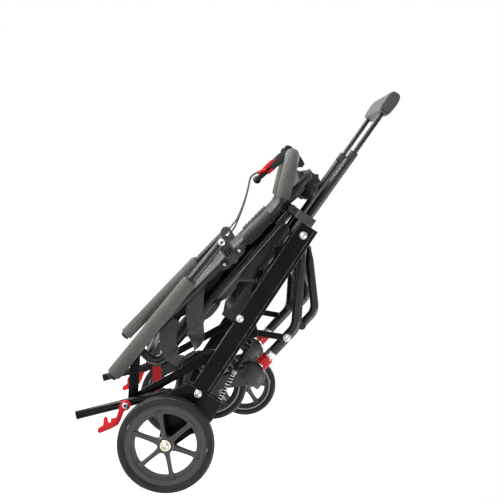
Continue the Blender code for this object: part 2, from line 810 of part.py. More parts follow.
def make_crosshead():
    """The grey beam over the rail tops, with trolley bores, and lugs with the seat's pivot pins."""
    low = RAIL_TOP + GAP
    beam = block((low, -RAIL_OUTER, CROSSHEAD_LOW), (low + CROSSHEAD_DEPTH, RAIL_OUTER,
                                                     CROSSHEAD_HIGH), 1.5)
    crosshead = piece("crosshead", beam, "root", "grey_plastic")
    edge = SEAT_R + 0.8
    outline = hull(arc(SEAT_PIVOT, 9, 0, 324, 9)
                   + [(low + 2, CROSSHEAD_HIGH - 4), (low + 16, CROSSHEAD_HIGH - 4)])
    for side in SIDES.values():
        lugs = [prism(outline, side * near, side * (near - 4))
                for near in (SEAT_LANE - edge, SEAT_LANE + edge + 4)]
        join(crosshead, merged(*lugs), "root")
        join(crosshead, bolt(SEAT_PIVOT, side * (SEAT_LANE + edge + 3.8),
                             side * (SEAT_LANE - edge - 2)), "root")
    line = direction(-TROLLEY_TILT)

    def hole(side):
        profile = [(0, -60), (TROLLEY_TUBE_R + GAP, -60), (TROLLEY_TUBE_R + GAP, 40), (0, 40)]
        return turned(profile, at(TROLLEY_AT, side * TROLLEY_LANE), line, 12)

    cut(crosshead, both(hole), "root")


def make_mid_bar():
    """The beam across the rails' middle, with end blocks and plates bolted through the rails."""
    high = RAIL_INNER - GAP
    low = high - MID_BLOCK_WIDTH
    u, v = MID_BEAM
    half = MID_BEAM_DEPTH / 2
    beam = block((u - MID_BEAM_WIDTH / 2, -low - 2, v - half),
                 (u + MID_BEAM_WIDTH / 2, low + 2, v + half))
    bar = piece("mid_cross_bar", beam, "root", "grey_plastic")
    top = u + MID_BLOCK_LENGTH / 2

    def block_of(side):
        return block((u - MID_BLOCK_LENGTH / 2, side * low, MID_BOLT[1] - 6),
                     (top, side * high, v + half + 2))

    def plate(side):
        return block((top - 3, side * (low + 1), MID_PLATE_EDGES[0]),
                     (MID_PLATE_TOP, side * high, MID_PLATE_EDGES[1]))

    join(bar, both(block_of), "root")
    join(bar, both(plate), "root")
    join(bar, both(lambda side: bolt(MID_BOLT, side * (RAIL_OUTER + GAP), side * (low + 1))),
         "root")


def make_leg_bolts():
    """The bolts through the rails that the front legs turn on."""
    pair("leg_pivot_bolt", lambda side: bolt(
        LEG_PIVOT, side * (RAIL_OUTER + GAP), side * (LEG_LANE - LEG_R - 2)), "root", "steel")


def spoked_rim(centre, sizes, phase):
    """A spoked wheel: hub, web, ring, and six openings between the spokes."""
    hub, hub_half, web_half, opening, ring, ring_half, hole = sizes
    profile = [
        (hole, -hub_half), (hub, -hub_half), (opening, -web_half), (ring, -ring_half),
        (ring, ring_half), (opening, web_half), (hub, hub_half), (hole, hub_half),
    ]
    rim = turned(profile, centre, (0, 1, 0), WHEEL_SIDES)
    middle = (centre[0], centre[2])
    cutters = []
    for k in range(SPOKES):
        start = phase + k * 360 / SPOKES
        end = start + 360 / SPOKES
        inside = hub + 5
        lean_in = math.degrees(math.asin(SPOKE_WIDTH / 2 / inside))
        lean_out = math.degrees(math.asin(SPOKE_WIDTH / 2 / opening))
        outline = (arc(middle, inside, end - lean_in, start + lean_in, 1)
                   + [along(middle, start + lean_out, opening - 6)]
                   + arc(middle, opening, start + lean_out + 6, end - lean_out - 6, 1)
                   + [along(middle, end - lean_out, opening - 6)])
        cutters.append(prism(outline, centre[1] - hub_half - 5, centre[1] + hub_half + 5))
    return rim, merged(*cutters)


def tyre_ring(centre, inner, outer, width):
    half = width / 2
    profile = [(inner, -half * 0.86), (outer - 5, -half), (outer, -half * 0.5),
               (outer, half * 0.5), (outer - 5, half), (inner, half * 0.86)]
    return turned(profile, centre, (0, 1, 0), WHEEL_SIDES)


def make_rear_wheel(name, side):
    centre = (0, side * REAR_LANE, 0)
    on = "rear_wheel_" + name
    ring = REAR_R - REAR_TYRE_HEIGHT
    sizes = (HUB_R, HUB_HALF, 5, REAR_OPENING_R, ring - GAP, 12.6, AXLE_R + RUN)
    rim, openings = spoked_rim(centre, sizes, SPOKE_PHASE)
    cut(piece("rear_rim_" + name, rim, on, "plastic"), openings, on)
    piece("rear_tyre_" + name, tyre_ring(centre, ring, REAR_R, REAR_TYRE_WIDTH), on, "tyre")


def make_pedal(name, side):
    """The red foot brake: an eye, a neck round the tyre, a toe plate and two fingers."""
    on = "brake_pedal_" + name
    near, far = side * PEDAL_NEAR, side * (PEDAL_NEAR + PEDAL_THICKNESS)
    outline = [(PEDAL_EYE[0] + u, PEDAL_EYE[1] + v) for u, v in PEDAL_EDGE]
    pedal = piece(on, prism(outline, near, far), on, "red")
    join(pedal, pin(PEDAL_EYE, near, far, 11, 14), on)
    cut(pedal, bore(PEDAL_EYE, near - side * 3, far + side * 3), on)


def make_trolley():
    """The two-stage pull handle: outer tubes on a carriage, then rods with a grip across them."""
    line = direction(-TROLLEY_TILT)

    def reach(u):
        return (u - TROLLEY_AT[0]) / math.cos(math.radians(TROLLEY_TILT))

    def bar(side, radius, start, end, steps=12):
        profile = [(0, start), (radius, start), (radius, end), (0, end)]
        return turned(profile, at(TROLLEY_AT, side * TROLLEY_LANE), line, steps)

    top = reach(TROLLEY_TUBE_TOP)
    low = top - TROLLEY_TUBE_LENGTH
    foot = at(TROLLEY_AT, 0) + line * low
    width = TROLLEY_LANE + TROLLEY_TUBE_R + 6
    carriage = block((foot.x - 2, -width, foot.z - 12),
                     (foot.x + CARRIAGE_LENGTH, width, foot.z + 10))
    tubes = piece("trolley_tubes", carriage, "trolley_tubes", "black_metal")
    join(tubes, both(lambda side: bar(side, TROLLEY_TUBE_R, low + 4, top)), "trolley_tubes")
    wall = TROLLEY_TUBE_R - TROLLEY_WALL
    cut(tubes, both(lambda side: bar(side, wall, low - 9, top + 9)), "trolley_tubes")
    rod_top = reach(ROD_TOP)
    pair("trolley_rod", lambda side: bar(side, ROD_R, rod_top - ROD_LENGTH, rod_top, 12),
         "trolley_rods", "black_metal")
    start = at(TROLLEY_AT, 0) + line * (rod_top - 14)
    rise = direction(90 - TROLLEY_TILT)
    half = GRIP_WIDTH / 2
    shape = [(GRIP_LENGTH * s, w * half) for s, w in (
        (0, 0.74), (0.12, 0.9), (0.6, 1.0), (0.86, 0.86), (1, 0.45))]
    points = [start + line * s + rise * w for s, w in shape + [(s, -w) for s, w in shape[::-1]]]
    over = TROLLEY_LANE + GRIP_OVERHANG
    grip = piece("trolley_grip", prism([(p.x, p.z) for p in points], -over, over, 4),
                 "trolley_rods", "grey_plastic")
    cut(grip, both(lambda side: bar(side, ROD_R + GAP, rod_top - 40, rod_top + GAP)),
        "trolley_rods")


def make_front_frame():
    """Bent front legs on the rail bolts, welded to a cross tube, with stem collars and pins."""
    _, angle = span(LEG_PIVOT, LEG_KNEE)
    lug = slot_outline(FOOT_HINGE, along(LEG_KNEE, 70, 5), 9, 8)
    lug_face = FOOT_LANE + FOOT_R + 2.4
    link_face = LINK_LANE + LINK_THICKNESS / 2

    def leg(side):
        y = side * LEG_LANE
        start = along(LEG_PIVOT, angle, -EYE_REACH)
        return tube(rounded([at(start, y), at(LEG_KNEE, y), at(LEG_END, y)], KNEE_R, 7), LEG_R)

    frame = piece("front_frame", both(leg), "front_frame", "black_metal")
    end = LEG_LANE - LEG_R + 3
    join(frame, pin(LEG_CROSS, -end, end, LEG_CROSS_R, 12), "front_frame")
    join(frame, both(lambda side: prism(lug, side * lug_face, side * (lug_face + 7))),
         "front_frame")

    def collar(side):
        bore_r = CASTER_STEM_R + RUN
        profile = [(bore_r, -3), (COLLAR_R, -3), (COLLAR_R, COLLAR_LENGTH), (bore_r, COLLAR_LENGTH)]
        return turned(profile, at(LEG_END, side * LEG_LANE), STEM, 14)

    join(frame, both(collar), "front_frame")
    cut(frame, both(lambda side: bore(LEG_PIVOT, side * (LEG_LANE - LEG_R - 5),
                                      side * (LEG_LANE + LEG_R + 5))), "front_frame")
    join(frame, both(lambda side: bolt(LEG_BOLT, side * (link_face + GAP),
                                       side * (LEG_LANE + 2))), "front_frame")
    join(frame, both(lambda side: bolt(FOOT_HINGE, side * (FOOT_LANE - FOOT_R - GAP),
                                       side * (lug_face + 3))), "front_frame")
    wire = CASTER_SPRING_WIRE
    start = COLLAR_LENGTH + GAP + wire + 0.6
    end = COLLAR_LENGTH + CASTER_SPRING_LENGTH - wire - 0.6
    for name, side in SIDES.items():
        top = at(LEG_END, side * LEG_LANE)
        path, gap = helix(top + STEM * start, top + STEM * end, CASTER_SPRING_R - wire, wire,
                          CASTER_SPRING_CURLS)
        piece("caster_spring_" + name, tube(path, wire, 1), "front_frame", "red")
        print(f"caster spring {name}: least gap between curls {gap:.2f} mm")


def make_links():
    """The flat bars that reach from each leg to the strut pivot while the chair is folded."""
    def bar(side):
        y, half = side * LINK_LANE, side * LINK_THICKNESS / 2
        return prism(slot_outline(LEG_BOLT, LINK_FOOT, LINK_WIDTH / 2), y - half, y + half)

    links = pair("leg_link", bar, "leg_links", "black_metal")
    cut_each(links, lambda side: bore(LEG_BOLT, side * (LINK_LANE - 9), side * (LINK_LANE + 9)),
             "leg_links")


def make_footrest():
    """A bent U tube that folds up along the legs, with a plate between its arms."""
    _, angle = span(FOOT_KNEE, FOOT_HINGE)
    half = [at(uv, -FOOT_LANE) for uv in (along(FOOT_HINGE, angle, EYE_REACH), FOOT_KNEE, FOOT_TIP)]
    path = rounded(half + [at((p.x, p.z), FOOT_LANE) for p in half[::-1]], FOOT_BEND_R, 4)
    frame = piece("footrest_tube", tube(path, FOOT_R), "footrest", "black_metal")
    cut(frame, both(lambda side: bore(FOOT_HINGE, side * (FOOT_LANE - FOOT_R - 5),
                                      side * (FOOT_LANE + FOOT_R + 5))), "footrest")
    length, angle = span(FOOT_KNEE, FOOT_TIP)
    width = FOOT_LANE - FOOT_R - GAP
    corners = [along(along(FOOT_KNEE, angle, length * s), angle + 90, w)
               for s, w in ((0.3, -4), (0.7, -4), (0.7, 4), (0.3, 4))]
    piece("footplate", prism(corners, -width, width, 1.2), "footrest", "plastic")


def make_caster(name, side):
    """A caster: stem and domed fork, axle, spoked rim and tyre."""
    on, wheel = "caster_fork_" + name, "caster_wheel_" + name
    axle = Vector(caster_axle(side))
    make_fork(on, at(LEG_END, side * LEG_LANE), axle)
    ring = CASTER_R - CASTER_TYRE_HEIGHT
    sizes = (15, 12.4, 4, CASTER_OPENING_R, ring - GAP, 10, CASTER_AXLE_R + RUN)
    rim, openings = spoked_rim(axle, sizes, CASTER_PHASE)
    cut(piece("caster_rim_" + name, rim, wheel, "plastic"), openings, wheel)
    piece("caster_tyre_" + name, tyre_ring(axle, ring, CASTER_R, CASTER_TYRE_WIDTH), wheel, "tyre")


def make_fork(on, top, axle):
    """A domed crown on a stem, hollowed for the wheel, with arms that hold the wheel's axle."""
    y = top.y
    crown = COLLAR_LENGTH + CASTER_SPRING_LENGTH + GAP
    half = DOME_LENGTH / 2
    outline = [(0, 0), (0.36, 0.03), (0.74, 0.18), (0.95, 0.48), (1.0, 1.0), (0, 1.0)]
    dome = turned([(r * half, crown + h * DOME_HEIGHT) for r, h in outline], top, STEM, 16)
    squeeze = Matrix.Translation((0, y, 0)) @ Matrix.Diagonal(
        (1, DOME_WIDTH / DOME_LENGTH, 1, 1)) @ Matrix.Translation((0, -y, 0))
    dome.transform(squeeze)
    fork = piece(on, dome, on, "grey_plastic")
    stem = [(0, 1.2), (CASTER_STEM_R, 1.2), (CASTER_STEM_R, crown + 9), (0, crown + 9)]
    join(fork, turned(stem, top, STEM, 10), on)
    base = top + STEM * (crown + DOME_HEIGHT * 0.7)
    ends = arc((axle.x, axle.z), FORK_WIDTH / 2, 0, 315, 7)
    for reach in (-0.72, 0.72):
        corner = base + STEM_SIDE * (half * reach)
        ends.append((corner.x, corner.z))
    near = FORK_ROOM / 2
    arms = [prism(hull(ends), y + way * near, y + way * (near + FORK_ARM)) for way in (-1, 1)]
    join(fork, merged(*arms), on)
    middle = (axle.x, axle.z)
    cut(fork, pin(middle, y - near, y + near, CASTER_R + 4, 18), on)
    out = near + FORK_ARM
    profile = [(0, -out - 3), (5, -out - 3), (7, -out + 0.5), (CASTER_AXLE_R, -out + 0.5),
               (CASTER_AXLE_R, out - 0.5), (7, out - 0.5), (5, out + 3), (0, out + 3)]
    join(fork, turned(profile, axle, (0, 1, 0), 10), on)


def make_seat():
    """The welded seat frame: side tubes with rear uprights, two cross tubes, and bolt holes."""
    bar_start = along(SEAT_PIVOT, SEAT_ANGLE, EYE_REACH - 1)
    _, rise = span(SEAT_CORNER, BACK_HINGE)
    rear = ((SEAT_CORNER[0] + BACK_HINGE[0]) / 2, (SEAT_CORNER[1] + BACK_HINGE[1]) / 2)
    front = along(SEAT_PIVOT, SEAT_ANGLE + 180, SEAT_CROSS_BACK)

    def side_tube(side):
        y = side * SEAT_LANE
        end = along(BACK_HINGE, rise, EYE_REACH)
        return tube(rounded([at(bar_start, y), at(SEAT_CORNER, y), at(end, y)], SEAT_BEND_R, 4),
                    SEAT_R)

    def bores(side):
        low, high = side * (SEAT_LANE - SEAT_R - 5), side * (SEAT_LANE + SEAT_R + 5)
        return merged(bore(SEAT_PIVOT, low, high), bore(BACK_HINGE, low, high))

    frame = piece("seat_frame", both(side_tube), "seat", "black_metal")
    end = SEAT_LANE - SEAT_R + 3
    join(frame, merged(*(pin(uv, -end, end, SEAT_CROSS_R) for uv in (rear, front))), "seat")
    cut(frame, both(bores), "seat")
    make_cushion()
    fall, forward = direction(HANG_ANGLE), direction(HANG_ANGLE + 90)
    start = at(rear, PULL_STRAP_LANE) + fall * (SEAT_CROSS_R + GAP)
    path = [start + fall * (PULL_STRAP_LENGTH * i / 6) for i in range(7)]
    piece("pull_strap", ribbon(path, [forward] * 7, PULL_STRAP_WIDTH, STRAP_THICKNESS), "seat",
          "red")


def make_cushion():
    """The quilted seat cushion between the seat's tubes."""
    low = along(along(SEAT_CORNER, SEAT_ANGLE, 26), SEAT_ANGLE + 90, PAD_LIFT)
    high = along(along(SEAT_PIVOT, SEAT_ANGLE + 180, SEAT_CROSS_BACK + 10), SEAT_ANGLE + 90,
                 PAD_LIFT)
    half = SEAT_LANE - SEAT_R - 3
    piece("seat_cushion", pad(low, high, half, SEAT_PAD_THICKNESS, 7, 0.25, 0.03),
          "seat", "fabric")


def make_struts():
    """The struts from the rails' pivot lugs, and the flat bars that hang from the back hinge."""
    def bar(start, end, lane, width):
        def one(side):
            y, half = side * lane, side * FLAT_BAR / 2
            return prism(slot_outline(start, end, width / 2), y - half, y + half)
        return one

    def hole(uv, lane):
        return lambda side: bore(uv, side * (lane - 9), side * (lane + 9))

    struts = pair("strut", bar(LINK_FOOT, STRUT_FOOT, STRUT_LANE, STRUT_WIDTH), "struts",
                  "black_metal")
    cut_each(struts, hole(LINK_FOOT, STRUT_LANE), "struts")
    plates = pair("hinge_plate", bar(BACK_HINGE, STRUT_FOOT, PLATE_LANE, PLATE_WIDTH),
                  "hinge_plates", "black_metal")
    cut_each(plates, hole(BACK_HINGE, PLATE_LANE), "hinge_plates")


def make_back():
    """The back frame with its hinge pins, the push bar's foam, and the padded back with its flap."""
    def post(side):
        y = side * POST_LANE
        return tube([at(along(BACK_HINGE, POST_ANGLE, -EYE_REACH), y), at(POST_TOP, y)], POST_R)

    corners = [along(POST_TOP, POST_ANGLE, -12), PUSH_BEND, PUSH_TOP]
    right = [at(uv, -POST_LANE) for uv in corners]
    bar = rounded(right + [at((p.x, p.z), POST_LANE) for p in right[::-1]], PUSH_CORNER_R, 6)
    frame = piece("back_frame", tube(bar, POST_R - 0.3), "back", "black_metal")
    join(frame, both(post), "back")
    hinge = (SEAT_LANE - SEAT_R - GAP, PLATE_LANE + FLAT_BAR / 2 + 1)
    join(frame, both(lambda side: bolt(BACK_HINGE, side * hinge[0], side * hinge[1])), "back")
    _, angle = span(PUSH_BEND, PUSH_TOP)

    def sleeve(side, more, radius):
        start = along(PUSH_BEND, angle, 10 - more)
        corners = [at(start, side * POST_LANE), at(PUSH_TOP, side * POST_LANE),
                   at(PUSH_TOP, side * (LEVER_LANE + 26 - more))]
        return tube(rounded(corners, PUSH_CORNER_R, 6), radius)

    foam = pair("push_foam", lambda side: sleeve(side, 0, FOAM_R), "back", "foam")
    cut_each(foam, lambda side: sleeve(side, 6, POST_R + GAP), "back")
    half = POST_LANE - POST_R - 12
    low = along(BACK_HINGE, POST_ANGLE, 40)
    high = along(BACK_HINGE, POST_ANGLE, BACK_PAD_TOP - BACK_HINGE[0])
    padding = piece("back_pad", pad(low, high, half, BACK_PAD_THICKNESS, 7, 0.25, 0.03),
                    "back", "fabric")
    flap_half = TROLLEY_LANE - TROLLEY_TUBE_R - 7
    join(padding, pad(FLAP_LOW, FLAP_HIGH, flap_half, FLAP_THICKNESS, 3, 0.3, 0.08, (9, 6)), "back")
    make_lap_strap()


def make_arm_brackets():
    """Moulded brackets on the posts, slotted, with the pins that the armrests turn on."""
    near, far = ARM_BRACKET_NEAR, ARM_BRACKET_FAR

    def one(side):
        return prism(slot_outline(ARM_PIVOT, ARM_FOOT, 13, 11.5), side * near, side * far)

    def clamp(side):
        return prism(slot_outline(ARM_CLAMP_LOW, ARM_CLAMP_HIGH, 11), side * near,
                     side * (far - 2))

    def slots(side):
        _, angle = span(ARM_PIVOT, ARM_FOOT)
        shapes = []
        for shift in (-6, 0, 6):
            ends = [along(along(ARM_PIVOT, angle, s), angle + 90, shift) for s in (18, 31)]
            shapes.append(prism(slot_outline(*ends, 1.6, 1.6, 2), side * (near + 4.8),
                                side * (far + 5)))
        return merged(*shapes)

    brackets = pair("armrest_bracket", one, "back", "plastic")
    join_each(brackets, clamp, "back")
    cut_each(brackets, slots, "back")
    head = ARM_LANE + ARM_TUBE_R + GAP
    join_each(brackets, lambda side: bolt(ARM_PIVOT, side * head, side * (near + 2)), "back")


def make_lap_strap():
    """The webbing loop that hangs from the sitter's right post, turned edge-on where it sags."""
    path = smooth_path([(u, y - LAP_STRAP_LANE, v) for u, y, v, _ in LAP_STRAP_ROUTE])
    turns = smooth_path([(turn, 0, 0) for _, _, _, turn in LAP_STRAP_ROUTE])
    across = []
    for i, turn in enumerate(turns):
        run = (path[min(i + 1, len(path) - 1)] - path[max(i - 1, 0)]).normalized()
        flat = Vector((run.z, 0, -run.x))
        angle = math.radians(turn.x)
        across.append(flat * math.cos(angle) + Vector((0, 1, 0)) * math.sin(angle))
    piece("lap_strap", ribbon(path, across, LAP_STRAP_WIDTH, STRAP_THICKNESS), "back", "fabric")


def make_armrest(name, side):
    """An armrest: a tube on the bracket's pin, with its foam sleeve."""
    on = "armrest_" + name
    y = side * ARM_LANE
    angle = ARM_ANGLES[name]
    start, stop = ARM_FOAM_START, ARM_FOAM_START + ARM_FOAM_LENGTH
    ends = [at(along(ARM_PIVOT, angle, reach), y) for reach in (-EYE_REACH, stop + 8)]
    arm = piece("armrest_tube_" + name, tube(ends, ARM_TUBE_R), on, "black_metal")
    low, high = side * (ARM_LANE - ARM_TUBE_R), side * (ARM_LANE + ARM_TUBE_R)
    cut(arm, bore(ARM_PIVOT, low - side * 5, high + side * 5), on)
    inner = ARM_TUBE_R + GAP
    profile = [(inner, start), (ARM_FOAM_R - 2, start), (ARM_FOAM_R, start + 2.5),
               (ARM_FOAM_R, stop - 2.5), (ARM_FOAM_R - 2, stop), (inner, stop)]
    foam = turned(profile, at(ARM_PIVOT, y), direction(angle), 14)
    piece("armrest_foam_" + name, foam, on, "foam")


def make_brake_levers():
    """Lever housings clamped on the push bar, with their pins, the blades, and the cables."""
    near, far = LEVER_LANE + GAP, LEVER_FAR
    outline = hull(arc(PUSH_TOP, LEVER_CLAMP_R, 0, 324, 9)
                   + arc(LEVER_CLAMP_TOP, 9, 0, 300, 5) + arc(LEVER_CLAMP_FOOT, 9, 0, 300, 5))
    arm = slot_outline(LEVER_ARM_START, LEVER_ARM_END, 9, 7)

    houses = pair("lever_housing", lambda side: prism(outline, side * near, side * far), "back",
                  "plastic")
    join_each(houses, lambda side: prism(arm, side * (near + 1), side * (far - 1)), "back")
    cut_each(houses, lambda side: pin(PUSH_TOP, side * (near - 5), side * (far + 5), POST_R + GAP),
             "back")
    join_each(houses, lambda side: bolt(LEVER_PIVOT, side * (LEVER_LANE - 12 - GAP),
                                        side * (far - 2)), "back")
    for name, side in SIDES.items():
        on = "brake_lever_" + name
        low, high = side * (LEVER_LANE - 12), side * LEVER_LANE
        blade = piece(on, prism(slot_outline(LEVER_PIVOT, LEVER_TIP, 9, 5), low, high), on,
                      "plastic")
        ball = bmesh.new()
        bmesh.ops.create_icosphere(ball, subdivisions=2, radius=LEVER_BALL_R,
                                   matrix=Matrix.Translation(at(LEVER_TIP, side * (LEVER_LANE - 6))))
        join(blade, ball, on)
        cut(blade, bore(LEVER_PIVOT, low - side * 5, high + side * 5), on)

    def cable(side):
        return tube(smooth_path([(u, side * y, v) for u, y, v in CABLE_ROUTE]), CABLE_R, 0)

    pair("brake_cable", cable, "back", "plastic")


def stand_on_floor():
    """Leans the chair into its stance and puts the middle of its base at the world's origin."""
    root = bodies["root"][0]
    root.rotation_euler = (0, -math.radians(RAIL_LEAN), 0)
    bpy.context.view_layer.update()
    graph = bpy.context.evaluated_depsgraph_get()
    low, high = Vector((1e9,) * 3), Vector((-1e9,) * 3)
    for node in bpy.data.objects:
        if node.type != "MESH" or node.hide_render:
            continue
        seen = node.evaluated_get(graph)
        mesh = seen.to_mesh()
        for vertex in mesh.vertices:
            place = seen.matrix_world @ vertex.co
            low = Vector(map(min, low, place))
            high = Vector(map(max, high, place))
        seen.to_mesh_clear()
    root.location = (-(low.x + high.x) / 2, -(low.y + high.y) / 2, -low.z)
    bpy.context.view_layer.update()
    print("size", [round(v, 4) for v in high - low])


def main():
    clear_scene()
    make_bodies()
    make_rails()
    make_axle_brackets()
    make_rear_axle()
    make_crosshead()
    make_mid_bar()
    make_leg_bolts()
    make_locks()
    make_trolley()
    make_front_frame()
    make_links()
    make_footrest()
    make_seat()
    make_struts()
    make_back()
    make_arm_brackets()
    make_brake_levers()
    for name, side in SIDES.items():
        make_rear_wheel(name, side)
        make_pedal(name, side)
        make_caster(name, side)
        make_armrest(name, side)
    stand_on_floor()


main()
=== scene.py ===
"""The looks of the folded transport chair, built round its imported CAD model.

Places are (u, y, v) in millimetres as in the part's source: u runs up along the side rails from the
rear axle, y to the sitter's left, and v square to the rails, towards the armrests.
"""

import math

import bmesh
import bpy
from mathutils import Matrix, Vector
from mathutils.bvhtree import BVHTree


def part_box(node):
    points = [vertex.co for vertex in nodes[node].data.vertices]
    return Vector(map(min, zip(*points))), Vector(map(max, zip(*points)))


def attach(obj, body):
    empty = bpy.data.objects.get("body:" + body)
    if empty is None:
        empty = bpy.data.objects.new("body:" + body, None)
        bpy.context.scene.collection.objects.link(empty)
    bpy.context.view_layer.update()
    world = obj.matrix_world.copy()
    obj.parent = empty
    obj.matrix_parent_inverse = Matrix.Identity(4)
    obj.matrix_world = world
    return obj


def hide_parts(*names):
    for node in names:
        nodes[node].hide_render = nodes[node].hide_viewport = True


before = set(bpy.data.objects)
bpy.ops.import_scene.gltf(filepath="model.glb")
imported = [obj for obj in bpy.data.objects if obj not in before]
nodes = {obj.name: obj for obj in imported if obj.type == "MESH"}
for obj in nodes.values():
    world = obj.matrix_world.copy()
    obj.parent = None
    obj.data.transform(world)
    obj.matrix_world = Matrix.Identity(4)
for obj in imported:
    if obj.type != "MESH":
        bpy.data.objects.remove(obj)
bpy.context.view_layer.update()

MM = 0.001
SIDES = {"right": -1, "left": 1}
RAIL_LEAN = 101.1
tyre_low, tyre_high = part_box("rear_tyre_right")
AXLE = Vector(((tyre_low[0] + tyre_high[0]) / 2, 0, (tyre_low[2] + tyre_high[2]) / 2))
PLACE = (Matrix.Translation(AXLE) @ Matrix.Rotation(-math.radians(RAIL_LEAN), 4, "Y")
         @ Matrix.Scale(MM, 4))

# the camera, from the photograph's vanishing lines: the chair was pulled along at a tilt
PHOTO_TILT = 44.6
CAMERA_FROM_AXLE = Vector((0.1705, -2.800, 0.55765))
CAMERA_PITCH = -3.5
CAMERA_YAW = 0.093
CAMERA_LENS, CAMERA_SENSOR = 88.5, 36.0


def linked(name, data):
    """A new object in the scene."""
    made = bpy.data.objects.new(name, data)
    bpy.context.scene.collection.objects.link(made)
    return made


def meshed(name, shape):
    """A shape as a mesh, which uses the shape up."""
    mesh = bpy.data.meshes.new(name)
    shape.to_mesh(mesh)
    shape.free()
    return mesh


def set_camera():
    tilt = Matrix.Rotation(-math.radians(PHOTO_TILT), 4, "Y")
    data = bpy.data.cameras.new("camera")
    data.lens = CAMERA_LENS
    data.sensor_width = CAMERA_SENSOR
    data.clip_start, data.clip_end = 0.05, 60
    camera = linked("camera", data)
    look = (Matrix.Rotation(-math.radians(CAMERA_YAW), 4, "Z")
            @ Matrix.Rotation(math.radians(90 + CAMERA_PITCH), 4, "X"))
    camera.matrix_world = (Matrix.Translation(AXLE) @ tilt
                           @ Matrix.Translation(CAMERA_FROM_AXLE) @ look)
    bpy.context.scene.camera = camera


set_camera()


# shapes


def at(uv, y):
    return Vector((uv[0], y, uv[1]))


def along(start, angle, distance):
    turn = math.radians(angle)
    return (start[0] + distance * math.cos(turn), start[1] + distance * math.sin(turn))


def direction(angle):
    turn = math.radians(angle)
    return Vector((math.cos(turn), 0, math.sin(turn)))


def span(start, end):
    du, dv = end[0] - start[0], end[1] - start[1]
    return math.hypot(du, dv), math.degrees(math.atan2(dv, du))


def arc(centre, radius, start, end, steps):
    return [along(centre, start + (end - start) * i / steps, radius) for i in range(steps + 1)]


def rounded(points, radius, steps):
    """A path with its corners rounded."""
    path = [Vector(points[0])]
    for before, corner, after in zip(points, points[1:], points[2:]):
        before, corner, after = Vector(before), Vector(corner), Vector(after)
        back, on = (before - corner).normalized(), (after - corner).normalized()
        half = back.angle(on) / 2
        reach = radius / math.tan(half)
        room = 0.98 * min((before - corner).length, (after - corner).length)
        reach = min(reach, room)
        bend = reach * math.tan(half)
        centre = corner + (back + on).normalized() * (bend / math.sin(half))
        start, end = corner + back * reach - centre, corner + on * reach - centre
        sweep = start.angle(end)
        count = max(2, round(steps * sweep / (math.pi / 2)))
        for i in range(count + 1):
            share = i / count
            turn = start * math.sin(sweep * (1 - share)) + end * math.sin(sweep * share)
            path.append(centre + turn / math.sin(sweep))
    path.append(Vector(points[-1]))
    return path


def smooth_path(points, steps):
    places = [Vector(p) for p in points]
    ends = [2 * places[0] - places[1]] + places + [2 * places[-1] - places[-2]]
    path = []
    for a, b, c, d in zip(ends, ends[1:], ends[2:], ends[3:]):
        for i in range(steps):
            t = i / steps
            path.append(0.5 * (2 * b + (c - a) * t + (2 * a - 5 * b + 4 * c - d) * t * t
                               + (3 * b - a - 3 * c + d) * t ** 3))
    return path + [places[-1]]


def mirrored(profile):
    """A profile of (a, b) points and, backwards, the same with b the other way."""
    return profile + [(a, -b) for a, b in profile[::-1]]


def circle(shape, centre, one, two, radius, count):
    """A ring of new points, in the plane of two directions."""
    turns = [math.tau * k / count for k in range(count)]
    return [shape.verts.new(centre + (one * math.cos(a) + two * math.sin(a)) * radius)
            for a in turns]


def skin(shape, rings):
    """Faces between rings of points, and over both ends."""
    for one, two in zip(rings, rings[1:]):
        for k in range(len(one)):
            m = (k + 1) % len(one)
            shape.faces.new((one[k], one[m], two[m], two[k]))
    shape.faces.new(rings[0][::-1])
    shape.faces.new(rings[-1])


def sweep(shape, path, radius, sides, cap=1.2):
    """A round bar along a path, with softly domed ends, added to a shape."""
    path = [Vector(p) for p in path]
    runs = [(b - a).normalized() for a, b in zip(path, path[1:])]
    tangents = [runs[0]] + [(a + b).normalized() for a, b in zip(runs, runs[1:])] + [runs[-1]]
    dome = [(0, radius)]
    if cap:
        dome = [(cap * (1 - math.cos(a)), radius - cap + cap * math.sin(a))
                for a in (0, math.pi / 4)] + [(cap, radius)]
    stations = [(path[0] + tangents[0] * d, w, tangents[0]) for d, w in dome]
    stations += [(p, radius, t) for p, t in zip(path, tangents)][1:-1]
    stations += [(path[-1] - tangents[-1] * d, w, tangents[-1]) for d, w in dome[::-1]]
    rings, before = [], tangents[0]
    side = before.orthogonal().normalized()
    for place, width, run in stations:
        side = before.rotation_difference(run) @ side
        before = run
        side = (side - run * side.dot(run)).normalized()
        rings.append(circle(shape, place, side, run.cross(side), width, sides))
    skin(shape, rings)
    return shape


def coil(start, axis, first, last, turns, radius, wire):
    """A spring wound round an axis."""
    one = axis.orthogonal().normalized()
    two = axis.cross(one)
    path = [start + axis * (first + (last - first) * i / (turns * 24))
            + (one * math.cos(math.tau * i / 24) + two * math.sin(math.tau * i / 24)) * radius
            for i in range(turns * 24 + 1)]
    return sweep(bmesh.new(), path, wire, 12, 0.3)


def lathe(shape, profile, centre, axis, steps):
    """A (radius, height) profile turned round an axis, added to a shape. Radius 0 closes an end."""
    axis, centre = Vector(axis).normalized(), Vector(centre)
    side = axis.orthogonal().normalized()
    other = axis.cross(side)
    rings = [circle(shape, centre + axis * h, side, other, r, steps) if r > 1e-6
             else [shape.verts.new(centre + axis * h)] for r, h in profile]
    closed = all(len(r) > 1 for r in rings)
    for one, two in zip(rings, rings[1:] + ([rings[0]] if closed else [])):
        if len(one) == len(two) == 1:
            continue
        for k in range(steps):
            m = (k + 1) % steps
            if len(one) == 1:
                shape.faces.new((one[0], two[m], two[k]))
            elif len(two) == 1:
                shape.faces.new((one[k], one[m], two[0]))
            else:
                shape.faces.new((one[k], one[m], two[m], two[k]))
    return shape


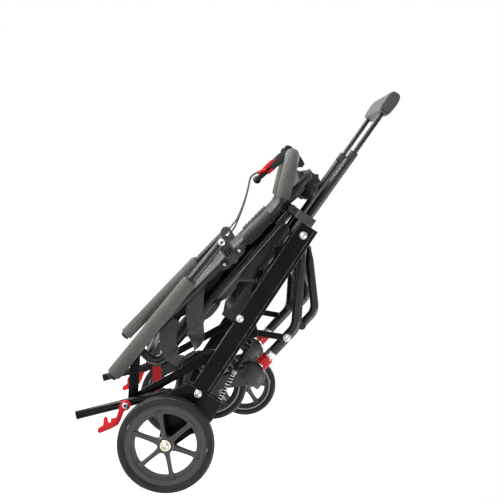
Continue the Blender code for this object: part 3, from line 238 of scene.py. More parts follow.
def drum(low, high, outer, inner=0):
    """The profile of a plain cylinder, or of a ring."""
    return [(inner, low), (outer, low), (outer, high), (inner, high)]


def prism(shape, outline, low, high, edge, segments=2):
    """An outline of (u, v) points, solid between two values of y, with eased edges."""
    part = bmesh.new()
    low, high = sorted((low, high))
    points = [part.verts.new((u, low, v)) for u, v in outline]
    face = part.faces.new(points)
    made = bmesh.ops.extrude_face_region(part, geom=[face])["geom"]
    top = [v for v in made if isinstance(v, bmesh.types.BMVert)]
    bmesh.ops.translate(part, verts=top, vec=(0, high - low, 0))
    ends = [f for f in part.faces if min(abs(f.calc_center_median().y - y)
                                         for y in (low, high)) < 1e-3]
    rims = {e for f in ends for e in f.edges}
    bmesh.ops.bevel(part, geom=list(rims), offset=edge, segments=segments, profile=0.6,
                    affect="EDGES")
    mesh = meshed("part", part)
    shape.from_mesh(mesh)
    bpy.data.meshes.remove(mesh)
    return shape


def slot_outline(start, end, radius, end_radius=None):
    end_radius = end_radius or radius
    length, angle = span(start, end)
    lean = math.degrees(math.asin((radius - end_radius) / length))
    return (arc(start, radius, angle + 90 - lean, angle + 270 + lean, 10)
            + arc(end, end_radius, angle - 90 + lean, angle + 90 - lean, 10))


def dressed(made, on, finish, replaces, angle):
    """Shades a mesh and puts it on its body."""
    made.data.materials.clear()
    made.data.materials.append(finish)
    made.data.shade_smooth()
    if angle:
        made.data.set_sharp_from_angle(angle=math.radians(angle))
    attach(made, on)
    if replaces:
        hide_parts(replaces)
    return made


def piece(name, shape, on, finish, replaces=None, angle=40):
    """A shape in chair millimetres as a piece of the scene, on its body."""
    bmesh.ops.recalc_face_normals(shape, faces=shape.faces)
    mesh = meshed(name, shape)
    mesh.transform(PLACE)
    return dressed(linked(name, mesh), on, finish, replaces, angle)


def turned(name, profile, centre, axis, steps, on, finish, replaces=None):
    """A lathed piece."""
    return piece(name, lathe(bmesh.new(), profile, centre, axis, steps), on, finish, replaces)


def worked_in(made):
    """Puts an object's modifiers into its mesh."""
    graph = bpy.context.evaluated_depsgraph_get()
    made.data = bpy.data.meshes.new_from_object(made.evaluated_get(graph))
    made.modifiers.clear()
    made.data.name = made.name


# finishes


def shaded(name, **inputs):
    """A new material and its Principled shader, with inputs given by name."""
    made = bpy.data.materials.new(name)
    made.use_nodes = True
    shader = made.node_tree.nodes["Principled BSDF"]
    for key, value in inputs.items():
        shader.inputs[key.replace("_", " ")].default_value = value
    return made, shader


def node(tree, kind, *wires, **values):
    """A new shader node: values set it up by name, and wires go to its first inputs."""
    made = tree.nodes.new("ShaderNode" + kind)
    for key, value in values.items():
        if hasattr(made, key):
            setattr(made, key, value)
        else:
            made.inputs[key.replace("_", " ")].default_value = value
    for wire, socket in zip(wires, made.inputs):
        tree.links.new(wire, socket)
    return made


def finish(name, slot, colour, roughness, grain, metallic=0.0, specular=0.5, coat=0.0, sheen=0.0,
           mottle=None, uneven=None, weave=None, wear_and_highlight=None):
    """A Principled finish whose grain, weave, mottling, paler edges and unevenness come from nodes.
    On the black enamel the paler edges are a painted highlight; on the mouldings, a paler edge
    colour.

    grain is (scale, depth in mm), mottle (scale, second colour, share), uneven (scale, spread of
    roughness), weave (pitch in mm, depth in mm, darkening) and wear (colour, share, width in mm)
    along edges. slot, the part's material that it stands for, is not used.
    """
    made, shader = shaded(name, Base_Color=(*colour, 1.0), Roughness=roughness, Metallic=metallic,
                          Specular_IOR_Level=specular, Coat_Weight=coat, Coat_Roughness=0.06,
                          Sheen_Weight=sheen, Sheen_Roughness=0.5)
    tree = made.node_tree
    link = tree.links.new
    place = node(tree, "Mapping", node(tree, "TexCoord").outputs["Object"],
                 Rotation=(0, math.radians(RAIL_LEAN), 0)).outputs["Vector"]

    def noise(scale, detail=3.0):
        return node(tree, "TexNoise", place, Scale=scale, Detail=detail).outputs["Fac"]

    def spread(value, low, high, start=0.35, end=0.65):
        return node(tree, "MapRange", value, From_Min=start, From_Max=end, To_Min=low,
                    To_Max=high).outputs["Result"]

    def product(first, second):
        return node(tree, "Math", first, second, operation="MULTIPLY").outputs[0]

    def blended(factor, first, second):
        made = node(tree, "Mix", factor, data_type="RGBA")
        for socket, value in ((made.inputs[6], first), (made.inputs[7], second)):
            if isinstance(value, tuple):
                socket.default_value = (*value, 1.0)
            else:
                link(value, socket)
        return made.outputs[2]

    shade = colour
    if mottle:
        scale, second, share = mottle
        shade = blended(spread(noise(scale), 0.0, share), colour, second)
    bumps = None

    def bump(value, depth, distance):
        nonlocal bumps
        made = node(tree, "Bump", Strength=depth, Distance=distance)
        link(value, made.inputs["Height"])
        if bumps:
            link(bumps, made.inputs["Normal"])
        bumps = made.outputs["Normal"]

    if weave:
        pitch, depth, darkening = weave
        threads = [node(tree, "TexWave", place, wave_type="BANDS", bands_direction=way,
                        Scale=0.314 / (pitch * MM), Distortion=0.6, Detail=1.0,
                        Detail_Scale=0.4).outputs["Fac"] for way in ("X", "Y")]
        cross = product(*threads)
        shade = blended(cross, tuple(c * (1 - darkening) for c in colour), shade)
        bump(cross, 0.6, depth * MM)
    scale, depth = grain
    bump(noise(scale, 4.0), 0.5, depth * MM)
    # paler colour along edges: a painted highlight on the black enamel, a paler edge colour on the
    # mouldings
    if wear_and_highlight:
        second, share, *size = wear_and_highlight
        eased = node(tree, "Bevel", samples=6, Radius=(size or [0.9])[0] * MM)
        turn = node(tree, "VectorMath", eased.outputs["Normal"],
                    node(tree, "NewGeometry").outputs["Normal"], operation="DOT_PRODUCT")
        rim = spread(turn.outputs["Value"], share, 0.0, 0.88, 0.975)
        shade = blended(product(rim, spread(noise(90), 0.2, 1.0)), shade, second)
    if not isinstance(shade, tuple):
        link(shade, shader.inputs["Base Color"])
    if uneven:
        scale, amount = uneven
        link(spread(noise(scale), roughness - amount, roughness + amount),
             shader.inputs["Roughness"])
    link(bumps, shader.inputs["Normal"])
    return made


# the black enamel's pale edge lines are a painted highlight
ENAMEL = finish("black_enamel", "black_metal", (0.0042, 0.0042, 0.0046), 0.24, specular=0.07,
                grain=(30, 0.02), uneven=(35, 0.07), mottle=(22, (0.007, 0.007, 0.0075), 0.7),
                wear_and_highlight=((0.30, 0.30, 0.31), 0.9, 1.9))
TUBE = finish("gloss_black_tube", "black_metal", (0.0045, 0.0045, 0.005), 0.27, specular=0.36,
              grain=(9, 0.01), uneven=(12, 0.03), mottle=(22, (0.008, 0.008, 0.0085), 0.7))
SATIN = finish("satin_black_moulding", "plastic", (0.013, 0.013, 0.0135), 0.42, specular=0.2,
               grain=(1500, 0.05), uneven=(60, 0.08), mottle=(40, (0.02, 0.02, 0.021), 0.8),
               wear_and_highlight=((0.08, 0.08, 0.085), 0.4))
RIM = finish("wheel_moulding", "plastic", (0.036, 0.036, 0.0365), 0.36, specular=0.35,
             grain=(1200, 0.05), uneven=(50, 0.08), mottle=(34, (0.046, 0.046, 0.047), 0.8),
             wear_and_highlight=((0.14, 0.14, 0.145), 0.4))
TYRE = finish("tyre_rubber", "tyre", (0.0065, 0.0065, 0.007), 0.36, specular=0.24,
              grain=(900, 0.08), uneven=(30, 0.12), mottle=(28, (0.02, 0.0195, 0.019), 0.7))
FOAM = finish("closed_cell_foam", "foam", (0.071, 0.073, 0.067), 0.62, specular=0.2, sheen=0.05,
              grain=(750, 0.35), uneven=(40, 0.08), mottle=(120, (0.092, 0.094, 0.087), 0.8))
GRIP = finish("grip_rubber", "grey_plastic", (0.043, 0.044, 0.041), 0.5, specular=0.25, sheen=0.05,
              grain=(700, 0.2), uneven=(40, 0.08), mottle=(60, (0.058, 0.059, 0.056), 0.8))
NYLON = finish("woven_nylon", "fabric", (0.015, 0.0155, 0.016), 0.5, specular=0.24, sheen=0.05,
               weave=(0.9, 0.16, 0.5), grain=(45, 0.4), mottle=(9, (0.03, 0.031, 0.032), 0.7))
WEBBING = finish("black_webbing", "fabric", (0.024, 0.024, 0.025), 0.42, specular=0.4, sheen=0.15,
                 weave=(1.5, 0.3, 0.6), grain=(60, 0.2), mottle=(30, (0.036, 0.036, 0.038), 0.6))
BELT = finish("belt_webbing", "fabric", (0.042, 0.042, 0.043), 0.4, specular=0.4, sheen=0.15,
              weave=(1.3, 0.3, 0.5), grain=(60, 0.2), mottle=(18, (0.07, 0.07, 0.072), 0.8))
THREAD = finish("sewing_thread", "fabric", (0.032, 0.033, 0.034), 0.6, specular=0.2, sheen=0.1,
                grain=(900, 0.1), mottle=(200, (0.048, 0.048, 0.05), 0.7))
GREY = finish("dark_grey_moulding", "grey_plastic", (0.034, 0.034, 0.036), 0.44, specular=0.25,
              grain=(1100, 0.08), uneven=(40, 0.08), mottle=(35, (0.046, 0.046, 0.048), 0.7),
              wear_and_highlight=((0.16, 0.16, 0.16), 0.4))
STEEL = finish("bright_steel", "steel", (0.56, 0.58, 0.59), 0.26, metallic=1.0, uneven=(80, 0.08),
               grain=(420, 0.05), mottle=(60, (0.42, 0.45, 0.45), 0.7))
ZINC = finish("yellow_zinc", "zinc", (0.66, 0.57, 0.34), 0.27, metallic=1.0, uneven=(70, 0.08),
              grain=(420, 0.03), mottle=(50, (0.55, 0.56, 0.42), 0.8))
RED = finish("red_moulding", "red", (0.68, 0.005, 0.012), 0.32, specular=0.25, coat=0.05,
             grain=(800, 0.05), uneven=(40, 0.06), mottle=(30, (0.52, 0.004, 0.009), 0.6),
             wear_and_highlight=((0.8, 0.06, 0.06), 0.4))
RED_WEB = finish("red_webbing", "red", (0.55, 0.006, 0.013), 0.6, specular=0.2, sheen=0.1,
                 weave=(1.5, 0.3, 0.55), grain=(60, 0.2), mottle=(35, (0.40, 0.004, 0.008), 0.6))
CABLE = finish("cable_sleeve", "plastic", (0.010, 0.010, 0.011), 0.35, specular=0.3,
               grain=(500, 0.03), uneven=(50, 0.08))
LIGHT_GREY = finish("light_grey_moulding", "plastic", (0.26, 0.26, 0.27), 0.3, coat=0.1,
                    grain=(700, 0.05), uneven=(40, 0.08), mottle=(30, (0.2, 0.2, 0.21), 0.7))


# studio


AMBIENT, BACKDROP, FLOOR_GLOW = 0.4, 1.0, 0.66


def seen_brighter(tree, target, low, high):
    """Raises an input from low to high for rays from the camera, mirrored and refracted ones."""
    rays = node(tree, "LightPath").outputs
    total = rays["Is Camera Ray"]
    for extra in ("Is Glossy Ray", "Is Transmission Ray"):
        total = node(tree, "Math", total, rays[extra], operation="MAXIMUM").outputs[0]
    level = node(tree, "MapRange", total, To_Min=low, To_Max=high)
    tree.links.new(level.outputs["Result"], target)


def lamp(name, place, size, power, aim=(0.0, 0.0, 0.45)):
    data = bpy.data.lights.new(name, "AREA")
    data.shape = "RECTANGLE"
    data.size, data.size_y = size
    data.energy = power
    made = linked(name, data)
    made.location = place
    made.visible_camera = False
    made.rotation_euler = (Vector(aim) - Vector(place)).to_track_quat("-Z", "Y").to_euler()


def studio():
    world = bpy.data.worlds.new("studio")
    bpy.context.scene.world = world
    world.use_nodes = True
    tree = world.node_tree
    ground = tree.nodes["Background"]
    ground.inputs["Color"].default_value = (1, 1, 1, 1)
    seen_brighter(tree, ground.inputs["Strength"], AMBIENT, BACKDROP)
    lamp("key", (-1.75, -0.75, 0.66), (0.2, 1.25), 34, (0.0, 0.0, 0.62))
    lamp("top", (-1.3, -0.9, 1.8), (0.7, 0.16), 12)
    lamp("back", (-1.7, 0.8, 0.8), (0.2, 1.25), 26, (0.0, 0.0, 0.6))
    lamp("fill", (1.8, -1.9, 0.9), (1.2, 1.2), 8)
    lamp("rim", (0.6, 1.8, 1.7), (0.3, 1.2), 16)
    lamp("right", (1.9, -0.8, 0.7), (0.2, 1.4), 26, (0.0, 0.0, 0.5))

    shape = bmesh.new()
    bmesh.ops.create_grid(shape, x_segments=1, y_segments=1, size=8)
    floor = linked("floor", meshed("floor", shape))
    material, shader = shaded("floor", Base_Color=(0.86, 0.86, 0.86, 1), Roughness=0.9,
                              Specular_IOR_Level=0.1, Emission_Color=(1, 1, 1, 1))
    seen_brighter(material.node_tree, shader.inputs["Emission Strength"], 0.0, FLOOR_GLOW)
    floor.data.materials.append(material)


studio()


# sizes in millimetres, as in the part's source, and the shapes made from them

REAR_R, REAR_LANE, HUB_HALF = 101.5, 280.0, 15.6
PEDAL_EYE = (16.5, 114.0)
RAIL_FACE, BRACKET_FACE, PEDAL_FACE, LINK_FACE = 250.2, 254.2, 257.8, 213.4
TROLLEY_AT, TROLLEY_TILT, TROLLEY_LANE = (561.0, 6.4), 1.8, 150.0
TROLLEY_TOP, TROLLEY_LENGTH, ROD_TOP, ROD_LENGTH, ROD_R, COLLAR = 726.0, 350.0, 842.0, 226, 5.4, 22
TUBE_R = 9.0
LEG_PIVOT, LEG_KNEE, LEG_END = (517.7, 0.0), (345.6, -98.9), (270.2, -86.2)
LEG_LANE, LEG_R, LEG_BOLT, LINK_FOOT = 190.0, 11.0, (316.5, -94.2), (288.0, -29.0)
STEM, STEM_SIDE = direction(170.5), direction(80.5)
FOOT_HINGE, FOOT_KNEE, FOOT_TIP = (353.7, -108.5), (395.7, -115.6), (497.0, -31.0)
FOOT_LANE = 165.0
SEAT_PIVOT, BACK_HINGE, SEAT_CORNER = (551.0, 48.0), (122.0, 160.0), (112.0, 105.3)
SEAT_LANE = 188.0
POST_LANE, POST_R, POST_TOP = 212.0, 9.3, (532.0, 74.8)
PUSH_BEND, PUSH_TOP, FOAM_R = (549.0, 74.0), (646.0, 109.5), 15.2
ARM_PIVOT, ARM_LANE = (412.5, 133.9), 248.5
ARM_KNOBS = ((376.0, 103.5), (417.0, 93.8))
SLEEVE_START, SLEEVE_END = 104.0, 360.0
ARM_ANGLES = {"right": 174.2, "left": 169.4}
LEVER_LANE, LEVER_PIVOT, LEVER_TIP = 120.0, (634.5, 125.8), (561.0, 143.0)
LOCK_TOP, LOCK_FOOT, LOCK_LANE = (274.0, -32.0), (112.0, -46.0), 238.0
SEAT_ANGLE = span(SEAT_CORNER, SEAT_PIVOT)[1]
POST_ANGLE = span(BACK_HINGE, POST_TOP)[1]


def carved(shape, cutter):
    """A shape with a closed cutter taken out of it."""
    objects = []
    for part in (shape, cutter):
        bmesh.ops.recalc_face_normals(part, faces=part.faces)
        objects.append(linked("carved", meshed("carved", part)))
    target, helper = objects
    modifier = target.modifiers.new("cut", "BOOLEAN")
    modifier.operation, modifier.object, modifier.solver = "DIFFERENCE", helper, "EXACT"
    worked_in(target)
    made = bmesh.new()
    made.from_mesh(target.data)
    for used in objects:
        bpy.data.objects.remove(used)
    return made


def softened(name, copied, on, finish, width, segments=2):
    """A CAD node again, with its edges eased."""
    shape = bmesh.new()
    shape.from_mesh(nodes[copied].data)
    bmesh.ops.remove_doubles(shape, verts=shape.verts, dist=1e-6)
    bmesh.ops.dissolve_limit(shape, angle_limit=math.radians(1.5), verts=shape.verts,
                             edges=shape.edges)
    bmesh.ops.recalc_face_normals(shape, faces=shape.faces)
    made = linked(name, meshed(name, shape))
    ease = made.modifiers.new("ease", "BEVEL")
    ease.width, ease.segments, ease.limit_method = width * MM, segments, "ANGLE"
    ease.angle_limit = math.radians(32)
    worked_in(made)
    return dressed(made, on, finish, copied, 40)


def head(shape, uv, y, out, radius, rise, washer=0.0):
    """A domed bolt head with a socket, on an optional washer."""
    base = 0.0
    if washer:
        lathe(shape, [(0, -0.2), (washer, -0.2), (washer, 1.0), (washer - 0.4, 1.4), (0, 1.4)],
              at(uv, y), (0, out, 0), 40)
        base = 1.4
    dome = [(0, base - 0.3), (radius, base - 0.3), (radius, base + 0.8)]
    dome += [(radius * math.cos(a), base + 0.8 + (rise - 0.8) * math.sin(a))
             for a in (0.35, 0.7, 1.0)]
    socket, top = radius * 0.42, base + rise - 0.15
    dome += [(socket + 0.5, top), (socket, top - 0.3), (socket, top - 1.8), (0, top - 1.8)]
    lathe(shape, dome, at(uv, y), (0, out, 0), 36)


def bolts(name, on, places):
    """Silver heads, given as (uv, y, outward way, radius, washer)."""
    shape = bmesh.new()
    for uv, y, out, radius, washer in places:
        head(shape, uv, y, out, radius, 3.9, washer)
    return piece(name, shape, on, STEEL)


# wheels


def loft(shape, sections):
    """A beam through (centre, across, deep, half width, half depth) sections, its edges eased."""
    rings = []
    for centre, across, deep, width, depth in sections:
        ease = 0.35 * min(width, depth)
        ring = []
        for sx, sy, start in ((1, 1, 0), (-1, 1, 90), (-1, -1, 180), (1, -1, 270)):
            for k in range(4):
                a = math.radians(start + 30 * k)
                ring.append(shape.verts.new(
                    centre + across * (sx * (width - ease) + ease * math.cos(a))
                    + deep * (sy * (depth - ease) + ease * math.sin(a))))
        rings.append(ring)
    skin(shape, rings)


def spoked(centre, ring, opening, hub, hole, halves, phase, width):
    """A moulded wheel: a channelled ring, six waisted spokes and a stepped hub."""
    hub_half, ring_half, inner_half = halves
    shape = bmesh.new()
    lip = opening + 0.42 * (ring - opening)
    profile = [(ring, -ring_half), (ring - 1.2, -ring_half - 0.6), (lip + 2.5, -ring_half - 0.6),
               (lip + 1.0, -ring_half + 0.4), (lip, -inner_half - 1.2),
               (opening + 1.6, -inner_half), (opening, -inner_half + 1.8)]
    lathe(shape, mirrored(profile), centre, (0, 1, 0), 96)
    profile = [(hole, -hub_half), (hub - 2.2, -hub_half), (hub, -hub_half + 1.8)]
    lathe(shape, mirrored(profile), centre, (0, 1, 0), 64)
    stations = [(hub - 5, 1.5, 0.92), (hub, 1.35, 0.86), (hub + 4, 1.08, 0.78),
                (hub + 10, 0.96, 0.7), ((hub + opening) / 2, 0.9, 0.6), (opening - 9, 0.92, 0.56),
                (opening - 4, 1.0, 0.56), (opening + 0.6, 1.3, 0.58), (opening + 3, 1.3, 0.6),
                (opening + 0.4 * (ring - opening), 1.0, 0.6)]
    for angle in range(0, 360, 60):
        run, across = direction(phase + angle), direction(phase + angle + 90)
        loft(shape, [(Vector(centre) + run * r, across, Vector((0, 1, 0)), width / 2 * w,
                      max(hub_half * d, inner_half * 0.8)) for r, w, d in stations])
    return shape


def tyre(centre, inner, outer, half):
    """A solid tyre with rounded shoulders, a shallow tread groove each side, and a bead line."""
    rise = outer - inner
    side = [(inner, -half * 0.84), (inner + 1.2, -half * 0.9), (inner + 2.0, -half * 0.9),
            (inner + 2.6, -half * 0.96), (inner + rise * 0.45, -half),
            (outer - 4.4, -half * 0.985), (outer - 2.4, -half * 0.9), (outer - 1.0, -half * 0.74),
            (outer - 0.25, -half * 0.56), (outer - 0.1, -half * 0.40), (outer - 1.0, -half * 0.37),
            (outer - 1.0, -half * 0.31), (outer, -half * 0.28)]
    return lathe(bmesh.new(), mirrored(side), centre, (0, 1, 0), 128)


for word, side in SIDES.items():
    hub = (0, side * REAR_LANE, 0)
    on = "rear_wheel_" + word
    piece("wheel_" + word, spoked(hub, 86.1, 64.0, 17.5, 6.4, (15.6, 12.0, 6.0), 43.5, 9.4),
          on, RIM, "rear_rim_" + word)
    piece("tread_" + word, tyre(hub, 86.5, REAR_R, 16.0), on, TYRE, "rear_tyre_" + word)
    face = REAR_LANE + HUB_HALF + 0.5
    turned("axle_washer_" + word, [
        (6.2, face), (10.6, face), (11.4, face + 0.5), (11.4, face + 1.5), (10.9, face + 2.0),
        (6.2, face + 2.0)], (0, 0, 0), (0, side, 0), 48, "root", ZINC, "axle_nut_" + word)
    shape = bmesh.new()
    head(shape, (0, 0), side * (face + 1.9), side, 7.4, 5.0)
    piece("axle_cap_" + word, shape, "root", STEEL)


def caster_axle(side):
    trail = 48.0 if side < 0 else -48.0
    return at(LEG_END, side * LEG_LANE) + STEM * 136.7 + STEM_SIDE * trail


DOME = [(0.36, 0.035), (0.56, 0.09), (0.74, 0.18), (0.86, 0.31), (0.94, 0.46), (0.985, 0.66),
        (1.0, 0.86), (1.0, 0.96), (0.985, 1.0)]
DOME_TOP, DOME_HEIGHT, DOME_R, DOME_FLATNESS = 36.4, 42, 32.0, 46 / 64
ARCH_R, ARCH_HALF, FORK_FACE, FORK_EYE_R = 79, 15.0, 19.5, 11.0


def crown(name, side):
    """A caster's grey dome with its wheel arch and two arms, and the silver axle bolt."""
    top, axle = at(LEG_END, side * LEG_LANE), caster_axle(side)
    foot, y = (axle.x, axle.z), top.y
    profile = [(0, DOME_TOP), (5, DOME_TOP), (6.5, DOME_TOP + 0.6)]
    profile += [(DOME_R * r, DOME_TOP + DOME_HEIGHT * h) for r, h in DOME]
    shape = lathe(bmesh.new(), profile + [(0, DOME_TOP + DOME_HEIGHT)], top, STEM, 72)
    for v in shape.verts:
        v.co.y = y + (v.co.y - y) * DOME_FLATNESS
    arch = lathe(bmesh.new(), drum(-ARCH_HALF, ARCH_HALF, ARCH_R), axle, (0, 1, 0), 72)
    shape = carved(shape, arch)
    base = top + STEM * (DOME_TOP + DOME_HEIGHT * 0.7)
    corners = [base + STEM_SIDE * (DOME_R * reach) for reach in (-0.72, 0.72)]
    corners = [(corner.x, corner.z) for corner in corners]
    (first, from_first), (second, from_second) = [span(corner, foot) for corner in corners]
    start = from_second - 90 + math.degrees(math.asin(FORK_EYE_R / second))
    end = from_first + 90 - math.degrees(math.asin(FORK_EYE_R / first))
    while end < start:
        end += 360
    for way in (-1, 1):
        prism(shape, corners + arc(foot, FORK_EYE_R, start, end, 16), y + way * ARCH_HALF,
              y + way * FORK_FACE, 0.9)
    sweep(shape, [top + STEM * 1.4, top + STEM * (DOME_TOP + 8)], 5.0, 24, 0.8)
    lathe(shape, drum(-19.2, 19.2, 4.6), axle, (0, 1, 0), 32)
    on = "caster_fork_" + name
    piece("crown_" + name, shape, on, GREY, on)
    bolts("caster_bolt_" + name, on,
          [(foot, y + way * FORK_FACE, way, 6.2, 0) for way in (-1, 1)])


for word, side in SIDES.items():
    crown(word, side)
    axle = caster_axle(side)
    on = "caster_wheel_" + word
    piece("caster_hub_" + word, spoked(axle, 62.6, 48.0, 15.0, 5.0, (12.4, 9.6, 4.6), 6.5, 11.0),
          on, RIM, "caster_rim_" + word)
    piece("caster_tread_" + word, tyre(axle, 63.0, 75.0, 13.0), on, TYRE, "caster_tyre_" + word)
    shape = bmesh.new()
    for way in (-1, 1):
        lathe(shape, [(60.4, 10.3), (58.6, 10.3), (58.2, 10.9), (60.8, 10.9)], axle,
              (0, way, 0), 96)
    piece("caster_ring_" + word, shape, on, LIGHT_GREY)
    top = at(LEG_END, side * LEG_LANE)
    turned("stem_collar_" + word, [
        (5.6, -3.2), (11.2, -3.2), (12.0, -2.4), (12.0, 3), (11.6, 3.6), (11.6, 9.6), (12.0, 10.2),
        (12.0, 13.4), (11.2, 14.2), (9.2, 14.2), (9.2, 35.0), (5.6, 35.0)], top, STEM, 64,
        "front_frame", STEEL)
    piece("spring_coil_" + word, coil(top, STEM, 11.0, 34.3, 6, 13.7, 1.5), "front_frame", RED,
          "caster_spring_" + word)


# front frame and footrest


def bow(half, lane, bend, steps, sides):
    """A U-shaped tube, the same on both sides."""
    near = [at(uv, -lane) for uv in half]
    far = [at((p.x, p.z), lane) for p in near[::-1]]
    return sweep(bmesh.new(), rounded(near + far, bend, steps), TUBE_R, sides)


shape, silver = bmesh.new(), []
run = span(LEG_PIVOT, LEG_KNEE)[1]
for side in SIDES.values():
    leg = [at(uv, side * LEG_LANE) for uv in (along(LEG_PIVOT, run, -8), LEG_KNEE, LEG_END)]
    sweep(shape, rounded(leg, 45, 20), LEG_R, 40)
    prism(shape, slot_outline(FOOT_HINGE, along(LEG_KNEE, 70, 5), 9, 8),
          side * 176.4, side * 183.4, 1.0)
    lathe(shape, drum(0, 14.5, 8.5), at(LEG_BOLT, side * LEG_LANE), (0, side, 0), 40)
    silver += [(LEG_BOLT, side * 207.4, side, 6.9, 8.6), (FOOT_HINGE, side * 155.8, -side, 6.9, 0)]
sweep(shape, [at((430.0, -50.5), -182), at((430.0, -50.5), 182)], TUBE_R, 36)
piece("front_legs", shape, "front_frame", TUBE, "front_frame")
bolts("front_bolts", "front_frame", silver)

run = span(FOOT_KNEE, FOOT_HINGE)[1]
piece("footrest_bow", bow((along(FOOT_HINGE, run, 8), FOOT_KNEE, FOOT_TIP), FOOT_LANE, 32, 18, 36),
      "footrest", TUBE, "footrest_tube")
softened("foot_plate", "footplate", "footrest", SATIN, 1.0)
for word in SIDES:
    softened("link_" + word, "leg_link_" + word, "leg_links", ENAMEL, 0.6)


# rails, brackets and locks

for word, side in SIDES.items():
    softened("rail_" + word, "side_rail_" + word, "root", ENAMEL, 1.2, 3)
    softened("bracket_" + word, "axle_bracket_" + word, "root", ENAMEL, 0.7)
    bolts("rail_bolts_" + word, "root", [
        (LEG_PIVOT, side * RAIL_FACE, side, 6.2, 8.0),
        ((299.9, 14.5), side * RAIL_FACE, side, 6.2, 8.0),
        ((120.3, 0.7), side * BRACKET_FACE, side, 6.2, 8.0),
        (PEDAL_EYE, side * PEDAL_FACE, side, 6.9, 0), (LINK_FOOT, side * LINK_FACE, side, 6.8, 0)])
    shape = bmesh.new()
    lathe(shape, drum(0, 73, 4.0), at(LEG_PIVOT, side * 177.2), (0, side, 0), 32)
    lathe(shape, drum(22, 50, 8.2, 4.2), at(LEG_PIVOT, side * 179), (0, side, 0), 36)
    piece("leg_pivot_" + word, shape, "root", STEEL, "leg_pivot_bolt_" + word)
    softened("pedal_" + word, "brake_pedal_" + word, "brake_pedal_" + word, RED, 0.9)

softened("crossbeam", "crosshead", "root", GREY, 1.0)
softened("mid_bar", "mid_cross_bar", "root", SATIN, 1.0)
shape = prism(bmesh.new(), [(286.6, 27.1), (299.4, 27.1), (299.4, 48.9), (286.6, 48.9)],
              -222.9, 222.9, 1.4, 3)
piece("mid_beam", shape, "root", ENAMEL)
half = [(0, -296.2), (6.0, -296.2), (6.0, -264.4), (9.0, -264.0), (9.0, -254.9), (6.0, -254.9),
        (6.0, -225.0), (12.5, -224.8)]
turned("axle_tube", mirrored(half), (0, 0, 0), (0, 1, 0), 48, "root", ENAMEL, "rear_axle")

length, angle = span(LOCK_TOP, LOCK_FOOT)
line, top = direction(angle), at(LOCK_TOP, -LOCK_LANE)
knob = LOCK_TOP[0] - 198.0
turned("lock_bar", [(0, 0), (4.0, 0), (5.0, 1.0), (5.0, knob - 5), (2.6, knob - 4), (2.6, length),
                    (0, length)], top, line, 32, "root", ENAMEL, "lock_rod")
turned("lock_knob", [(r, knob + h) for r, h in (
    (2.7, -3.4), (5.6, -3.4), (6.5, -2.4), (6.5, 2.6), (5.8, 3.4), (4.2, 4.4), (4.2, 6.2),
    (2.7, 6.2))], top, line, 40, "root", LIGHT_GREY)
piece("lock_coil", coil(top, line, knob + 8, LOCK_TOP[0] - 129.0, 9, 5.6, 0.9), "root", STEEL,
      "lock_spring")


# trolley

line = direction(-TROLLEY_TILT)


def reach(u):
    return (u - TROLLEY_AT[0]) / math.cos(math.radians(TROLLEY_TILT))


tube_top, rod_top = reach(TROLLEY_TOP), reach(ROD_TOP)
low = tube_top - TROLLEY_LENGTH
shape, caps, bright = bmesh.new(), bmesh.new(), bmesh.new()
foot = at(TROLLEY_AT, 0) + line * low
prism(shape, [(foot.x + u, foot.z + v) for u, v in ((-2, -12), (30, -12), (30, 10), (-2, 10))],
      -165, 165, 2.2, 3)
for side in SIDES.values():
    base = at(TROLLEY_AT, side * TROLLEY_LANE)
    lathe(shape, [(6.4, low - 1), (9.0, low - 1), (9.0, tube_top - COLLAR),
                  (8.6, tube_top - COLLAR + 0.2), (8.6, tube_top - 0.8), (8.2, tube_top),
                  (6.4, tube_top)], base, line, 48)
    lathe(caps, [(5.8, tube_top - COLLAR), (8.9, tube_top - COLLAR),
                 (9.05, tube_top - COLLAR + 0.2), (9.05, tube_top - 0.6), (8.7, tube_top + 0.2),
                 (5.8, tube_top + 0.2)], base, line, 48)
    for share in (6, 14):
        spot = base + line * (tube_top - share)
        for way in (side, -side):
            head(bright, (spot.x, spot.z), base.y + way * 8.3, way, 2.8, 1.1)
piece("trolley_outer", shape, "trolley_tubes", TUBE, "trolley_tubes")
piece("trolley_collars", caps, "trolley_tubes", SATIN)
piece("trolley_rivets", bright, "trolley_tubes", RIM)
for word, side in SIDES.items():
    base = at(TROLLEY_AT, side * TROLLEY_LANE)
    rod = sweep(bmesh.new(), [base + line * (rod_top - ROD_LENGTH), base + line * rod_top],
                ROD_R, 36)
    piece("pull_rod_" + word, rod, "trolley_rods", TUBE, "trolley_rod_" + word)

rise, half = direction(90 - TROLLEY_TILT), 14.0
start = at(TROLLEY_AT, 0) + line * (rod_top - 14)
profile = [(0, 0.70), (0.02, 0.75), (0.10, 0.86), (0.25, 0.94), (0.45, 0.99), (0.62, 1.0),
           (0.76, 0.95), (0.87, 0.84), (0.95, 0.66), (0.99, 0.42), (1.0, 0.2)]
points = [start + line * (52.0 * s) + rise * (w * half) for s, w in mirrored(profile)]
shape = prism(bmesh.new(), [(p.x, p.z) for p in points], -172, 172, 5.0, 5)
piece("grip", shape, "trolley_rods", GRIP, "trolley_grip")


# seat, struts and back frame

_, rise_angle = span(SEAT_CORNER, BACK_HINGE)
rear = ((SEAT_CORNER[0] + BACK_HINGE[0]) / 2, (SEAT_CORNER[1] + BACK_HINGE[1]) / 2)
front = along(SEAT_PIVOT, SEAT_ANGLE + 180, 23)
shape = bmesh.new()
for side in SIDES.values():
    path = [at(uv, side * SEAT_LANE) for uv in (
        along(SEAT_PIVOT, SEAT_ANGLE, 7), SEAT_CORNER, along(BACK_HINGE, rise_angle, 8))]
    sweep(shape, rounded(path, 24, 14), POST_R, 40)
for uv in (rear, front):
    sweep(shape, [at(uv, -182), at(uv, 182)], 8.0, 36)
piece("seat_tubes", shape, "seat", TUBE, "seat_frame")
for word in SIDES:
    softened("stay_" + word, "strut_" + word, "struts", ENAMEL, 0.7)
    softened("hinge_bar_" + word, "hinge_plate_" + word, "hinge_plates", ENAMEL, 0.7)

